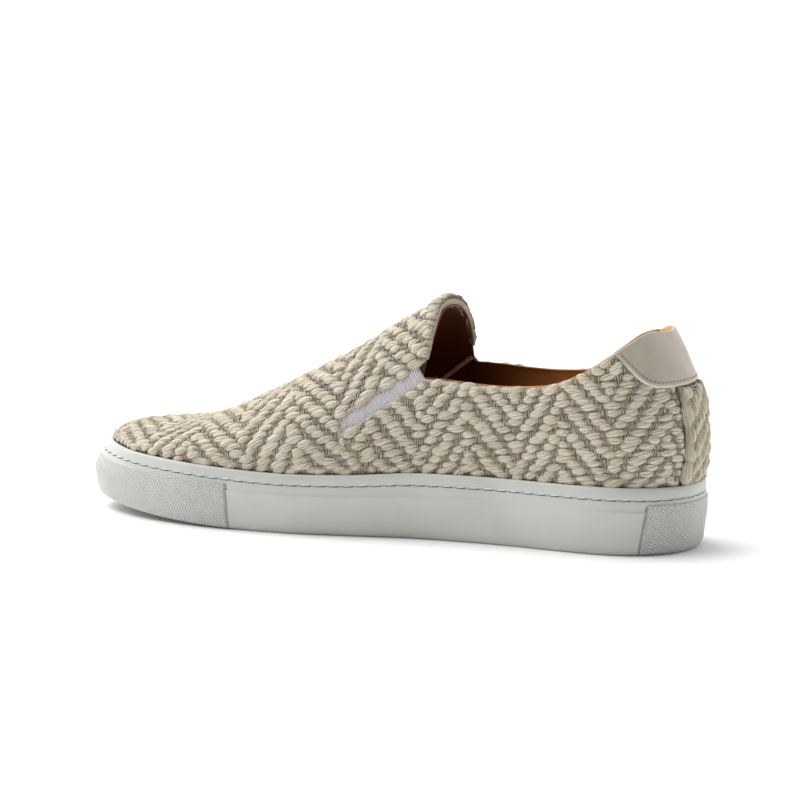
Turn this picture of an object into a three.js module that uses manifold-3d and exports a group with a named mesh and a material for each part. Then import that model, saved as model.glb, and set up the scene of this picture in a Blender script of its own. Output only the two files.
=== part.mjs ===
// A woven slip-on shoe on a rubber cup sole, right foot. Millimetres, +X to the toe, +Y to the
// medial side, +Z up. The shoe stands on the plane z = 0, with the middle of its box at x = y = 0.
import * as THREE from "three";
import { mergeVertices } from "three/addons/utils/BufferGeometryUtils.js";
import Module from "manifold-3d";

const wasm = await Module();
wasm.setup();

// Driving dimensions
const SOLE_LENGTH = 290; // heel to toe, at the widest line of the cup sole
const BALL_WIDTH = 102; // across the sole at the ball of the foot
const SIDE_HEIGHT = 29.7; // floor to the rim of the cup sole, at the heel
const INSTEP_HEIGHT = 103.5; // floor to the top of the throat
const HEEL_TOP = 95; // floor to the top of the heel tab
const COLLAR_HEIGHT = 68.2; // floor to the collar at its lowest
const COLLAR_TILT = 0.02; // rise of the collar from the lateral to the medial side, per mm
const THROAT_AT = 0.414; // the throat's edge, as a share of the length from the heel
const THROAT_LEAN = 3.5; // how far the throat's top leans back over its corners
const TOE_SPRING = 6.5; // rise of the sole's underside at the toe tip
const FIT_GAP = 0.3; // clearance between pieces that touch
const CUP_WALL = 2.4; // thickness of the cup sole's wall at its rim
const RIM_SETBACK = 0.8; // the rim lies this far inside the sole's widest line
const HEEL_FLOOR = 15; // thickness of the cup's floor under the heel
const BALL_FLOOR = 10.5; // thickness of the cup's floor under the ball
const UPPER_WALL = 2.6; // woven cloth and leather lining together
const SWELL = 2.0; // how far the cloth swells out over the rim
const INSOLE_THICKNESS = 4.5;
const ROLL_WIDTH = 8; // folded edge of the cloth along the throat
const ROLL_RISE = 2.4; // how far that fold stands out
const GORE_WIDTH = 7; // elastic seen between vamp and quarter
const GORE_THICKNESS = 1.2;
const GORE_DEPTH = 0.7; // the elastic lies this far under the cloth's face
const TAB_THICKNESS = 1.3; // leather heel tab
const STRIP_THICKNESS = 2.2; // cloth strip up the back of the heel
const STRIP_WIDTH = 24;
const BUMPER_RISE = 0.8; // the ribbed toe and heel panels stand out of the side
const TOE_BUMPER_AT = 0.708; // where the toe panel ends, as a share of the length
const HEEL_BUMPER_AT = 0.053; // where the heel panel ends
const TREAD_DEPTH = 1.5;
const TREAD_WIDTH = 3;
const TREAD_PITCH = 9;
const TREAD_MARGIN = 8; // flat border round the tread
const ARCH_DEPTH = 1.2; // hollow under the waist

// Sampling
const STATIONS = 34; // steps from heel to toe along one side
const DOME_STEPS = 12; // steps from the rim to the ridge
const FAR = 400; // reach of a cutting shape, past the whole shoe

// The sole's plan: half widths from the centre line as shares of the ball width, the centre line's
// own sideways shift, and the height of the rim as a share of the side height.
const PLAN = [
  { at: 0.0, medial: 0.33, lateral: 0.33, centre: 0.0, rim: 0.985 },
  { at: 0.15, medial: 0.345, lateral: 0.345, centre: 0.0, rim: 1.0 },
  { at: 0.3, medial: 0.322, lateral: 0.36, centre: 0.0, rim: 1.0 },
  { at: 0.4, medial: 0.332, lateral: 0.398, centre: 0.0, rim: 0.99 },
  { at: 0.53, medial: 0.405, lateral: 0.47, centre: 0.006, rim: 0.915 },
  { at: 0.62, medial: 0.445, lateral: 0.51, centre: 0.014, rim: 0.9 },
  { at: 0.73, medial: 0.45, lateral: 0.52, centre: 0.022, rim: 0.935 },
  { at: 0.87, medial: 0.43, lateral: 0.485, centre: 0.028, rim: 1.0 },
  { at: 1.0, medial: 0.39, lateral: 0.44, centre: 0.03, rim: 1.045 },
];
const HEEL_ROUND = 0.135; // share of the length that the heel's round end takes
const TOE_ROUND = 0.32; // share that the toe's round end takes
const HEEL_POWER = 2.15; // 2 is an ellipse, more is squarer
const TOE_POWER = 2.35;

// The last: its ridge as a share of the instep height, how full each side of its section is, and
// how far the ridge lies to the medial side, as a share of the ball width.
const LAST = [
  { at: 0.0, ridge: 1.206, medial: 2.5, lateral: 2.5, aside: 0.0 },
  { at: 0.25, ridge: 1.206, medial: 2.5, lateral: 2.5, aside: 0.0 },
  { at: 0.33, ridge: 1.12, medial: 2.3, lateral: 2.6, aside: 0.03 },
  { at: 0.37, ridge: 1.04, medial: 2.2, lateral: 2.6, aside: 0.06 },
  { at: 0.403, ridge: 0.981, medial: 2.15, lateral: 2.55, aside: 0.07 },
  { at: 0.43, ridge: 0.953, medial: 2.1, lateral: 2.5, aside: 0.07 },
  { at: 0.475, ridge: 0.883, medial: 2.0, lateral: 2.4, aside: 0.06 },
  { at: 0.545, ridge: 0.761, medial: 2.0, lateral: 2.25, aside: 0.045 },
  { at: 0.65, ridge: 0.609, medial: 2.0, lateral: 2.1, aside: 0.035 },
  { at: 0.72, ridge: 0.512, medial: 2.0, lateral: 2.1, aside: 0.025 },
  { at: 0.78, ridge: 0.44, medial: 2.1, lateral: 2.1, aside: 0.015 },
  { at: 0.85, ridge: 0.393, medial: 2.2, lateral: 2.2, aside: 0.005 },
  { at: 0.93, ridge: 0.375, medial: 2.3, lateral: 2.3, aside: 0.0 },
  { at: 1.0, ridge: 0.369, medial: 2.3, lateral: 2.3, aside: 0.0 },
];
const TOE_CROWN = 0.09; // share of the length over which the toe cap curves down

// The back of the heel: how far it leans in with height, as shares of the heel's height.
const HEEL_CURVE = [
  { up: 0.0, lean: 0.0 },
  { up: 0.31, lean: 0.0 },
  { up: 0.42, lean: -0.014 },
  { up: 0.6, lean: 0.004 },
  { up: 0.7, lean: 0.024 },
  { up: 0.78, lean: 0.055 },
  { up: 0.9, lean: 0.1 },
  { up: 1.0, lean: 0.145 },
  { up: 1.35, lean: 0.36 },
];
const HEEL_FADE = 0.4; // share of the length over which that lean dies away

// The collar from heel to throat: height over its lowest point as a share of the heel's rise.
const COLLAR = [
  { at: -0.05, rise: 0.86 },
  { at: 0.045, rise: 0.88 },
  { at: 0.06, rise: 0.985 },
  { at: 0.068, rise: 0.96 },
  { at: 0.076, rise: 0.88 },
  { at: 0.09, rise: 0.75 },
  { at: 0.112, rise: 0.59 },
  { at: 0.16, rise: 0.26 },
  { at: 0.192, rise: 0.12 },
  { at: 0.221, rise: 0.05 },
  { at: 0.287, rise: 0.0 },
  { at: 0.33, rise: 0.01 },
  { at: 0.364, rise: 0.035 },
  { at: THROAT_AT, rise: 0.05 },
];

// The sole's side: height as a share of the rim's, and how far it stands inside the widest line.
const SIDE = [
  { up: 0.0, inset: 4.4 },
  { up: 0.05, inset: 3.2 },
  { up: 0.14, inset: 2.4 },
  { up: 0.645, inset: 0.3 },
  { up: 0.66, inset: 0.8 },
  { up: 0.8, inset: 0.8 },
  { up: 0.825, inset: 1.4 },
  { up: 0.85, inset: 0.8 },
  { up: 0.97, inset: 0.8 },
];
const SIDE_FACE = 0.8; // inset of the band over the bead
const BUMPER_TOP = 0.74; // top of the ribbed panels, as a share of the rim's height
const TOE_LIP_LEAN = 6.2; // extra setback of the rim at the toe tip
const TOE_LIP_FROM = 0.8; // where that lean begins, as a share of the length

// The heel tab's lower edge in side view: distance from the heel and height, as shares.
const TAB_EDGE = [
  { at: -0.05, high: 0.757 },
  { at: 0.035, high: 0.752 },
  { at: 0.047, high: 0.754 },
  { at: 0.059, high: 0.768 },
  { at: 0.071, high: 0.794 },
  { at: 0.084, high: 0.834 },
  { at: 0.099, high: 0.879 },
  { at: 0.109, high: 0.91 },
  { at: 0.116, high: 1.1 },
];

// The elastic gore's middle line in side view, from the throat's corner forward and down, with
// heights as shares of the instep height.
const GORE_TOP = { at: 0.418, high: 0.688 };
const GORE_FOOT = { at: 0.531, high: 0.463 };

// The seam between vamp and quarter in side view, from the gore's foot down to the sole.
const SEAM = [
  { at: 0.528, high: 0.45 },
  { at: 0.526, high: 0.426 },
  { at: 0.514, high: 0.382 },
  { at: 0.501, high: 0.323 },
  { at: 0.478, high: 0.24 },
];
const SEAM_WIDTH = 1.4;
const SEAM_DEPTH = 0.8;

// Value of one column of a table at a place, on a smooth curve through its rows that never
// overshoots them.
function columnAt(table, key, name, where) {
  const last = table.length - 1;
  if (where <= table[0][key]) return table[0][name];
  if (where >= table[last][key]) return table[last][name];
  let row = 0;
  while (table[row + 1][key] < where) row += 1;
  const slope = (r) => (table[r + 1][name] - table[r][name]) / (table[r + 1][key] - table[r][key]);
  const tangent = (r) => {
    if (r === 0 || r === last) return slope(Math.min(r, last - 1));
    const before = slope(r - 1);
    const after = slope(r);
    return before * after <= 0 ? 0 : (2 * before * after) / (before + after);
  };
  const span = table[row + 1][key] - table[row][key];
  const s = (where - table[row][key]) / span;
  const rise = s * s * (3 - 2 * s);
  return (
    table[row][name] * (1 - rise) +
    table[row + 1][name] * rise +
    span * (tangent(row) * s * (1 - s) ** 2 - tangent(row + 1) * s * s * (1 - s))
  );
}

const smooth = (s) => {
  const c = Math.min(1, Math.max(0, s));
  return c * c * (3 - 2 * c);
};
const alongSole = (at) => (at - 0.5) * SOLE_LENGTH;
const shareOf = (x) => x / SOLE_LENGTH + 0.5;

// Fullness of the round heel and toe ends, from 0 at the tip to 1.
function endRound(at) {
  const heel = Math.max(0, 1 - at / HEEL_ROUND);
  const toe = Math.max(0, 1 - (1 - at) / TOE_ROUND);
  const round = (s, power) => (1 - s ** power) ** (1 / power);
  return round(heel, HEEL_POWER) * round(toe, TOE_POWER);
}

const springAt = (at) => TOE_SPRING * Math.max(0, (at - 0.64) / 0.36) ** 2;
const rimAt = (at) => SIDE_HEIGHT * columnAt(PLAN, "at", "rim", at);
const centreAt = (at) => BALL_WIDTH * columnAt(PLAN, "at", "centre", at);
const floorAt = (at) =>
  springAt(at) + HEEL_FLOOR + (BALL_FLOOR - HEEL_FLOOR) * smooth((at - 0.25) / 0.4);

// One closed ring round the shoe: heel centre first, forward along the medial side to the toe tip,
// and back along the lateral side. Each corner keeps its share of the length in "at".
function planRing(inset) {
  const count = 2 * STATIONS;
  const corners = [];
  for (let j = 0; j < count; j += 1) {
    const at = 0.5 - 0.5 * Math.cos((Math.PI * j) / STATIONS);
    const side = j <= STATIONS ? 1 : -1;
    const half = columnAt(PLAN, "at", side > 0 ? "medial" : "lateral", at) * BALL_WIDTH;
    corners.push({ at, x: alongSole(at), y: centreAt(at) + side * half * endRound(at) });
  }
  return corners.map((corner, j) => {
    const before = corners[(j + count - 1) % count];
    const after = corners[(j + 1) % count];
    const tangent = new THREE.Vector2(after.x - before.x, after.y - before.y).normalize();
    const depth = typeof inset === "function" ? inset(corner.at) : inset;
    return { at: corner.at, x: corner.x + tangent.y * depth, y: corner.y - tangent.x * depth };
  });
}

// A solid from a closed mesh whose shared corners are merged. Faces that have shrunk to a line go.
function solidFrom(geometry) {
  const bare = geometry.clone();
  bare.deleteAttribute("normal");
  bare.deleteAttribute("uv");
  const merged = mergeVertices(bare, 1e-4);
  const index = merged.index.array;
  const kept = [];
  for (let i = 0; i < index.length; i += 3) {
    const [a, b, c] = [index[i], index[i + 1], index[i + 2]];
    if (a !== b && b !== c && c !== a) kept.push(a, b, c);
  }
  return new wasm.Manifold(
    new wasm.Mesh({
      numProp: 3,
      vertProperties: merged.attributes.position.array,
      triVerts: new Uint32Array(kept),
    }),
  );
}

// A closed solid through rings of equal count, its first and last ring closed by strips across
// the shoe. Rings run from the bottom up.
function loft(rings) {
  const count = rings[0].length;
  const geometry = new THREE.BufferGeometry();
  geometry.setAttribute(
    "position",
    new THREE.Float32BufferAttribute(rings.flat().flatMap((p) => [p.x, p.y, p.z]), 3),
  );
  const faces = [];
  const quad = (a, b, c, d) => faces.push(a, b, c, a, c, d);
  for (let r = 0; r + 1 < rings.length; r += 1) {
    for (let j = 0; j < count; j += 1) {
      const next = (j + 1) % count;
      const low = r * count;
      const high = low + count;
      quad(low + next, low + j, high + j, high + next);
    }
  }
  const top = (rings.length - 1) * count;
  for (let j = 0; j < count / 2; j += 1) {
    const across = (count - j) % count;
    const acrossNext = count - j - 1;
    quad(j, j + 1, acrossNext, across);
    quad(top + j + 1, top + j, top + across, top + acrossNext);
  }
  geometry.setIndex(faces);
  return solidFrom(geometry);
}

const featherInset = RIM_SETBACK + CUP_WALL + FIT_GAP;
const lipLean = (at) => TOE_LIP_LEAN * smooth((at - TOE_LIP_FROM) / (1 - TOE_LIP_FROM)) ** 2;

// Rings of the last, from the cup's floor up the skirt and over the dome to the ridge.
function lastRings(floorLift) {
  const rings = [];
  const skirt = planRing((at) => featherInset + lipLean(at));
  rings.push(skirt.map((p) => ({ ...p, z: floorAt(p.at) + floorLift })));
  rings.push(skirt.map((p) => ({ ...p, z: 0.5 * (floorAt(p.at) + rimAt(p.at)) })));
  for (let k = 0; k <= DOME_STEPS; k += 1) {
    const turn = (0.5 * Math.PI * k) / DOME_STEPS;
    const swell = SWELL * Math.sin(Math.PI * Math.min(1, (2.2 * k) / DOME_STEPS));
    const base = planRing(
      (at) => featherInset + lipLean(at) - swell * smooth((1 - at) / 0.25),
    );
    rings.push(base.map((p) => domePoint(p, turn)));
  }
  return rings;
}

// One corner of the dome, a quarter of a full ellipse from the rim to the ridge.
function domePoint(p, turn) {
  const centre = centreAt(p.at);
  const full = columnAt(LAST, "at", p.y < centre ? "lateral" : "medial", p.at);
  const rim = rimAt(p.at);
  const toe = Math.max(0, 1 - (1 - p.at) / TOE_CROWN);
  const crown = (1 - toe ** 2.2) ** (1 / 2.2);
  const ridge = rim + (INSTEP_HEIGHT * columnAt(LAST, "at", "ridge", p.at) - rim) * crown;
  const across = Math.max(0, Math.cos(turn)) ** (2 / full);
  const z = rim + (ridge - rim) * Math.sin(turn) ** (2 / full);
  const fade = Math.max(0, 1 - p.at / HEEL_FADE) ** 2;
  const lean = HEEL_TOP * columnAt(HEEL_CURVE, "up", "lean", z / HEEL_TOP) * fade;
  const aside = BALL_WIDTH * columnAt(LAST, "at", "aside", p.at) * (1 - across);
  return { at: p.at, x: p.x + lean, y: centre + aside + (p.y - centre) * across, z };
}

// The last grown or shrunk by an offset along its own normals, as a closed solid.
function lastSolid(offset, floorLift) {
  const rings = lastRings(0);
  const count = rings[0].length;
  const position = rings.map((ring) => ring.map((p) => new THREE.Vector3(p.x, p.y, p.z)));
  const grown = rings.map((ring, r) =>
    ring.map((p, j) => {
      const up = position[Math.min(r + 1, rings.length - 1)][j];
      const down = position[Math.max(r - 1, 0)][j];
      const after = position[r][(j + 1) % count];
      const before = position[r][(j + count - 1) % count];
      const along = after.clone().sub(before);
      const crest = r === rings.length - 1;
      const rise = (crest ? position[r - 1][(count - j) % count] : up).clone().sub(down);
      const normal = rise.cross(along);
      if (r < 2) normal.z = 0;
      const onCentre = j === 0 || j === count / 2;
      if (onCentre || r === rings.length - 1) normal.y = 0;
      if (normal.lengthSq() < 1e-9) normal.set(j === 0 ? -1 : 1, 0, 0);
      normal.normalize();
      const point = position[r][j].clone().addScaledVector(normal, offset);
      if (r === 0) point.z += floorLift;
      return { x: point.x, y: point.y, z: point.z };
    }),
  );
  return loft(grown);
}

// A prism across the shoe from an outline in side view.
function acrossPrism(points) {
  const shape = new THREE.Shape(points.map(([x, z]) => new THREE.Vector2(x, z)));
  const geometry = new THREE.ExtrudeGeometry(shape, { depth: 2 * FAR, bevelEnabled: false });
  geometry.rotateX(Math.PI / 2);
  geometry.translate(0, FAR, 0);
  return solidFrom(geometry);
}

// A box between two corners.
function boxSolid(low, high) {
  const size = high.map((h, i) => h - low[i]);
  const geometry = new THREE.BoxGeometry(...size);
  geometry.translate(...low.map((l, i) => l + size[i] / 2));
  return solidFrom(geometry);
}

const throatX = alongSole(THROAT_AT);
const heelX = alongSole(0);
const collarZ = (at) =>
  COLLAR_HEIGHT + (HEEL_TOP - COLLAR_HEIGHT) * columnAt(COLLAR, "at", "rise", at);

// Everything above the collar line and behind the throat, tilted down to the lateral side.
function collarCutter() {
  const steps = 18;
  const line = [];
  for (let i = 0; i <= steps; i += 1) {
    const at = -0.05 + ((THROAT_AT + 0.05) * i) / steps;
    line.push([alongSole(at), collarZ(at)]);
  }
  const top = INSTEP_HEIGHT * 1.6;
  line.push([throatX - THROAT_LEAN, INSTEP_HEIGHT * 0.97], [throatX - THROAT_LEAN, top]);
  line.push([alongSole(-0.05), top]);
  const cutter = acrossPrism(line);
  return cutter.transform([1, 0, 0, 0, 0, 1, COLLAR_TILT, 0, 0, 0, 1, 0, 0, 0, 0, 1]);
}

// A point of a side view from its share of the length and of the instep height.
const sidePoint = (row) => new THREE.Vector2(alongSole(row.at), row.high * INSTEP_HEIGHT);

// The gore's slot in side view, grown or shrunk all round by a margin. Its foot is cut upright, and
// its top runs on past the collar.
function goreOutline(margin) {
  const top = sidePoint(GORE_TOP);
  const foot = sidePoint(GORE_FOOT);
  const along = foot.clone().sub(top).normalize();
  const half = (GORE_WIDTH / 2 + margin) / along.x;
  const start = top.clone().addScaledVector(along, -2 * GORE_WIDTH);
  const end = foot.clone().addScaledVector(along, margin / along.x);
  return [
    [start.x, start.y - half],
    [end.x, end.y - half],
    [end.x, end.y + half],
    [start.x, start.y + half],
  ];
}

// A narrow band in side view along the seam.
function seamOutline() {
  const line = SEAM.map(sidePoint);
  const front = line.map((p) => [p.x + SEAM_WIDTH / 2, p.y]);
  const back = line.map((p) => [p.x - SEAM_WIDTH / 2, p.y]).reverse();
  return [...front, ...back];
}

// The region of the heel tab in side view, grown by a margin.
function tabRegion(margin) {
  const edge = TAB_EDGE.map((row) => [alongSole(row.at) + margin, row.high * HEEL_TOP - margin]);
  return acrossPrism([[heelX - FAR, edge[0][1]], ...edge, [heelX - FAR, FAR]]);
}

function makeUpper() {
  const outer = lastSolid(0, FIT_GAP);
  const inner = lastSolid(-UPPER_WALL, -2 * UPPER_WALL);
  const fold = [1, 0.6].map((share) =>
    lastSolid(ROLL_RISE * (share === 1 ? 0.5 : 1), FIT_GAP).intersect(
      boxSolid(
        [throatX - ROLL_WIDTH, -FAR, GORE_TOP.high * INSTEP_HEIGHT + GORE_WIDTH],
        [throatX + ROLL_WIDTH * share, FAR, FAR],
      ),
    ),
  );
  const seam = acrossPrism(seamOutline()).subtract(lastSolid(-SEAM_DEPTH, 0));
  return outer
    .add(fold[0])
    .add(fold[1])
    .subtract(inner)
    .subtract(collarCutter())
    .subtract(acrossPrism(goreOutline(0)))
    .subtract(seam);
}

function makeGore(side) {
  const band = lastSolid(-GORE_DEPTH, FIT_GAP).subtract(
    lastSolid(-GORE_DEPTH - GORE_THICKNESS, -UPPER_WALL),
  );
  const half = side > 0 ? boxSolid([-FAR, 0, 0], [FAR, FAR, FAR]) : boxSolid([-FAR, -FAR, 0], [FAR, 0, FAR]);
  return band
    .intersect(acrossPrism(goreOutline(-FIT_GAP)))
    .intersect(half)
    .subtract(collarCutter());
}

function makeTab() {
  const shell = lastSolid(FIT_GAP + TAB_THICKNESS, 0).subtract(lastSolid(FIT_GAP, -UPPER_WALL));
  return shell.intersect(tabRegion(0)).subtract(collarCutter());
}

function makeStrip() {
  const shell = lastSolid(FIT_GAP + STRIP_THICKNESS, 0).subtract(lastSolid(FIT_GAP, -UPPER_WALL));
  const reach = boxSolid(
    [heelX - FAR, -STRIP_WIDTH / 2, SIDE_HEIGHT + FIT_GAP],
    [heelX + SOLE_LENGTH / 4, STRIP_WIDTH / 2, HEEL_TOP],
  );
  return shell.intersect(reach).subtract(tabRegion(FIT_GAP));
}

function makeInsole() {
  const inset = featherInset + UPPER_WALL + FIT_GAP;
  const level = (lift, extra) =>
    planRing((at) => inset + lipLean(at) + extra).map((p) => ({
      ...p,
      z: floorAt(p.at) + FIT_GAP + lift,
    }));
  return loft([level(0, 0), level(INSOLE_THICKNESS - 1, 0), level(INSOLE_THICKNESS, 1)]);
}

// The side of the sole as a closed block, grown outward by a rise.
function soleBlock(rise) {
  const rings = SIDE.map((row) => sideRing(row.up, row.inset - rise));
  rings.push(sideRing(1, RIM_SETBACK + 0.4 - rise));
  return loft(rings);
}

// One ring of the sole's side at a share of its height.
function sideRing(up, inset) {
  const lean = Math.max(0, (up - 0.5) / 0.5);
  return planRing((at) => inset + lipLean(at) * lean).map((p) => ({
    ...p,
    z: springAt(p.at) * (1 - up) + rimAt(p.at) * up,
  }));
}

// What the ribbed panels take of a grown block: under the stitching, at the toe and at the heel.
function bumpers() {
  const grown = SIDE.filter((row) => row.up > 0 && row.up < BUMPER_TOP).map((row) =>
    sideRing(row.up, Math.max(row.inset, SIDE_FACE) - BUMPER_RISE),
  );
  grown.push(sideRing(BUMPER_TOP, SIDE_FACE - BUMPER_RISE));
  const block = loft(grown);
  const toe = boxSolid([alongSole(TOE_BUMPER_AT), -FAR, 0], [FAR, FAR, FAR]);
  const heel = boxSolid([-FAR, -FAR, 0], [alongSole(HEEL_BUMPER_AT), FAR, FAR]);
  return block.intersect(toe.add(heel));
}

function makeCupSole() {
  const cavity = lastSolid(FIT_GAP, 0);
  const tread = [];
  for (let x = TREAD_PITCH; x < SOLE_LENGTH - TREAD_PITCH; x += TREAD_PITCH) {
    const at = x / SOLE_LENGTH;
    if (at > 0.3 && at < 0.55) continue;
    const mid = heelX + x;
    const depth = springAt(at) + TREAD_DEPTH;
    tread.push(boxSolid([mid, -FAR, -1], [mid + TREAD_WIDTH, FAR, depth]));
  }
  tread.push(boxSolid([alongSole(0.32), -FAR, -1], [alongSole(0.53), FAR, ARCH_DEPTH]));
  const inner = planRing(SIDE[0].inset + TREAD_MARGIN);
  const reach = loft([
    inner.map((p) => ({ ...p, z: -1 })),
    inner.map((p) => ({ ...p, z: SIDE_HEIGHT / 2 })),
  ]);
  const cuts = tread.reduce((all, one) => all.add(one)).intersect(reach);
  return soleBlock(0).add(bumpers()).subtract(cavity).subtract(cuts);
}

// A named mesh of one solid in its own finish.
function node(name, solid, colour, roughness) {
  const { vertProperties, triVerts } = solid.getMesh();
  const geometry = new THREE.BufferGeometry();
  geometry.setAttribute("position", new THREE.BufferAttribute(vertProperties, 3));
  geometry.setIndex(new THREE.BufferAttribute(triVerts, 1));
  geometry.computeVertexNormals();
  const material = new THREE.MeshStandardMaterial({ color: colour, roughness, metalness: 0 });
  const mesh = new THREE.Mesh(geometry, material);
  mesh.name = name;
  return mesh;
}

const shoe = new THREE.Group();
shoe.add(
  node("cup_sole", makeCupSole(), 0xe9ebea, 0.55),
  node("upper", makeUpper(), 0xd8ccb4, 0.95),
  node("insole", makeInsole(), 0x9a6a3c, 0.6),
  node("gore_medial", makeGore(1), 0xd9d5d4, 0.9),
  node("gore_lateral", makeGore(-1), 0xd9d5d4, 0.9),
  node("heel_tab", makeTab(), 0xcfc3b6, 0.5),
  node("heel_strip", makeStrip(), 0xe2d8c2, 0.95),
);

// The middle of the box goes over the origin, and the tread onto the floor.
const bounds = new THREE.Box3().setFromObject(shoe);
const middle = bounds.getCenter(new THREE.Vector3());
shoe.position.set(-middle.x, -middle.y, -bounds.min.z);

export default shoe;
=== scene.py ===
"""A woven slip-on shoe on a stitched rubber cup sole, right foot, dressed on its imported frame."""
import logging
import math
from dataclasses import dataclass, field
from enum import Enum
from typing import Any, Callable, Sequence

import bmesh
import bpy
import numpy as np
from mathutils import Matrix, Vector
from mathutils.bvhtree import BVHTree


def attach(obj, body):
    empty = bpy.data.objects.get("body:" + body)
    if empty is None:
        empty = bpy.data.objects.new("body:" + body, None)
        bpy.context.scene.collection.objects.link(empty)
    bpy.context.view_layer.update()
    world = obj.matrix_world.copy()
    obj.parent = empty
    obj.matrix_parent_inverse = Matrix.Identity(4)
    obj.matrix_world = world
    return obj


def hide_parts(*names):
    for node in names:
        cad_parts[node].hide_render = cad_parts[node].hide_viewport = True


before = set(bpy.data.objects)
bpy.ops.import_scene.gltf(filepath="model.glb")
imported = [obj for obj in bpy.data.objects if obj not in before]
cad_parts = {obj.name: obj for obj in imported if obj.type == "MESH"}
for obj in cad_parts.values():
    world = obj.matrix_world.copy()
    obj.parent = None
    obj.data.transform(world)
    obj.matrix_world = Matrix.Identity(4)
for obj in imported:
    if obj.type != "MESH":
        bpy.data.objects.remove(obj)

log = logging.getLogger("slip_on_shoe")
Array = np.ndarray
MM = 0.001
FAR = 400.0
RNG_SEED = 42


class Side(Enum):
    """The two sides of a right shoe."""

    MEDIAL = 1
    LATERAL = -1


class Table:
    """Rows of named columns, read on a smooth curve that never overshoots them."""

    def __init__(self, names: Sequence[str], rows: Sequence[Sequence[float]]) -> None:
        """Keeps the rows and works out each column's tangents.

        Args:
            names: names of the columns after the first, which is what they are read by.
            rows: one list of numbers for each section.
        """
        data = np.array(rows, float)
        self.keys = data[:, 0]
        self.columns = {name: data[:, i + 1] for i, name in enumerate(names)}
        self.tangents = {name: self._tangents(col) for name, col in self.columns.items()}

    def _tangents(self, col: Array) -> Array:
        """Slopes at the rows.

        Args:
            col: the column's values.

        Returns:
            One slope for each row, zero at a turning point.
        """
        slope = np.diff(col) / np.diff(self.keys)
        out = np.empty(len(col))
        out[0], out[-1] = slope[0], slope[-1]
        a, b = slope[:-1], slope[1:]
        total = np.where(a + b == 0, 1, a + b)
        out[1:-1] = np.where(a * b <= 0, 0, 2 * a * b / total)
        return out

    def at(self, name: str, where: Array) -> Array:
        """Values of one column.

        Args:
            name: the column.
            where: places along the key.

        Returns:
            The value at each place.
        """
        x = np.clip(np.asarray(where, float), self.keys[0], self.keys[-1])
        i = np.clip(np.searchsorted(self.keys, x) - 1, 0, len(self.keys) - 2)
        span = self.keys[i + 1] - self.keys[i]
        s = (x - self.keys[i]) / span
        y, m = self.columns[name], self.tangents[name]
        rise = s * s * (3 - 2 * s)
        bend = m[i] * s * (1 - s) ** 2 - m[i + 1] * s * s * (1 - s)
        return y[i] * (1 - rise) + y[i + 1] * rise + span * bend


def smooth(s: Array) -> Array:
    """An S-shaped step.

    Args:
        s: position, 0 to 1 and beyond.

    Returns:
        0 below 0, 1 above 1 and a smooth rise between.
    """
    c = np.clip(s, 0, 1)
    return c * c * (3 - 2 * c)


def unit(v: Array) -> Array:
    """Vectors of length one.

    Args:
        v: vectors along the last axis.

    Returns:
        The same vectors, scaled.
    """
    return v / np.maximum(np.linalg.norm(v, axis=-1, keepdims=True), 1e-12)


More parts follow.
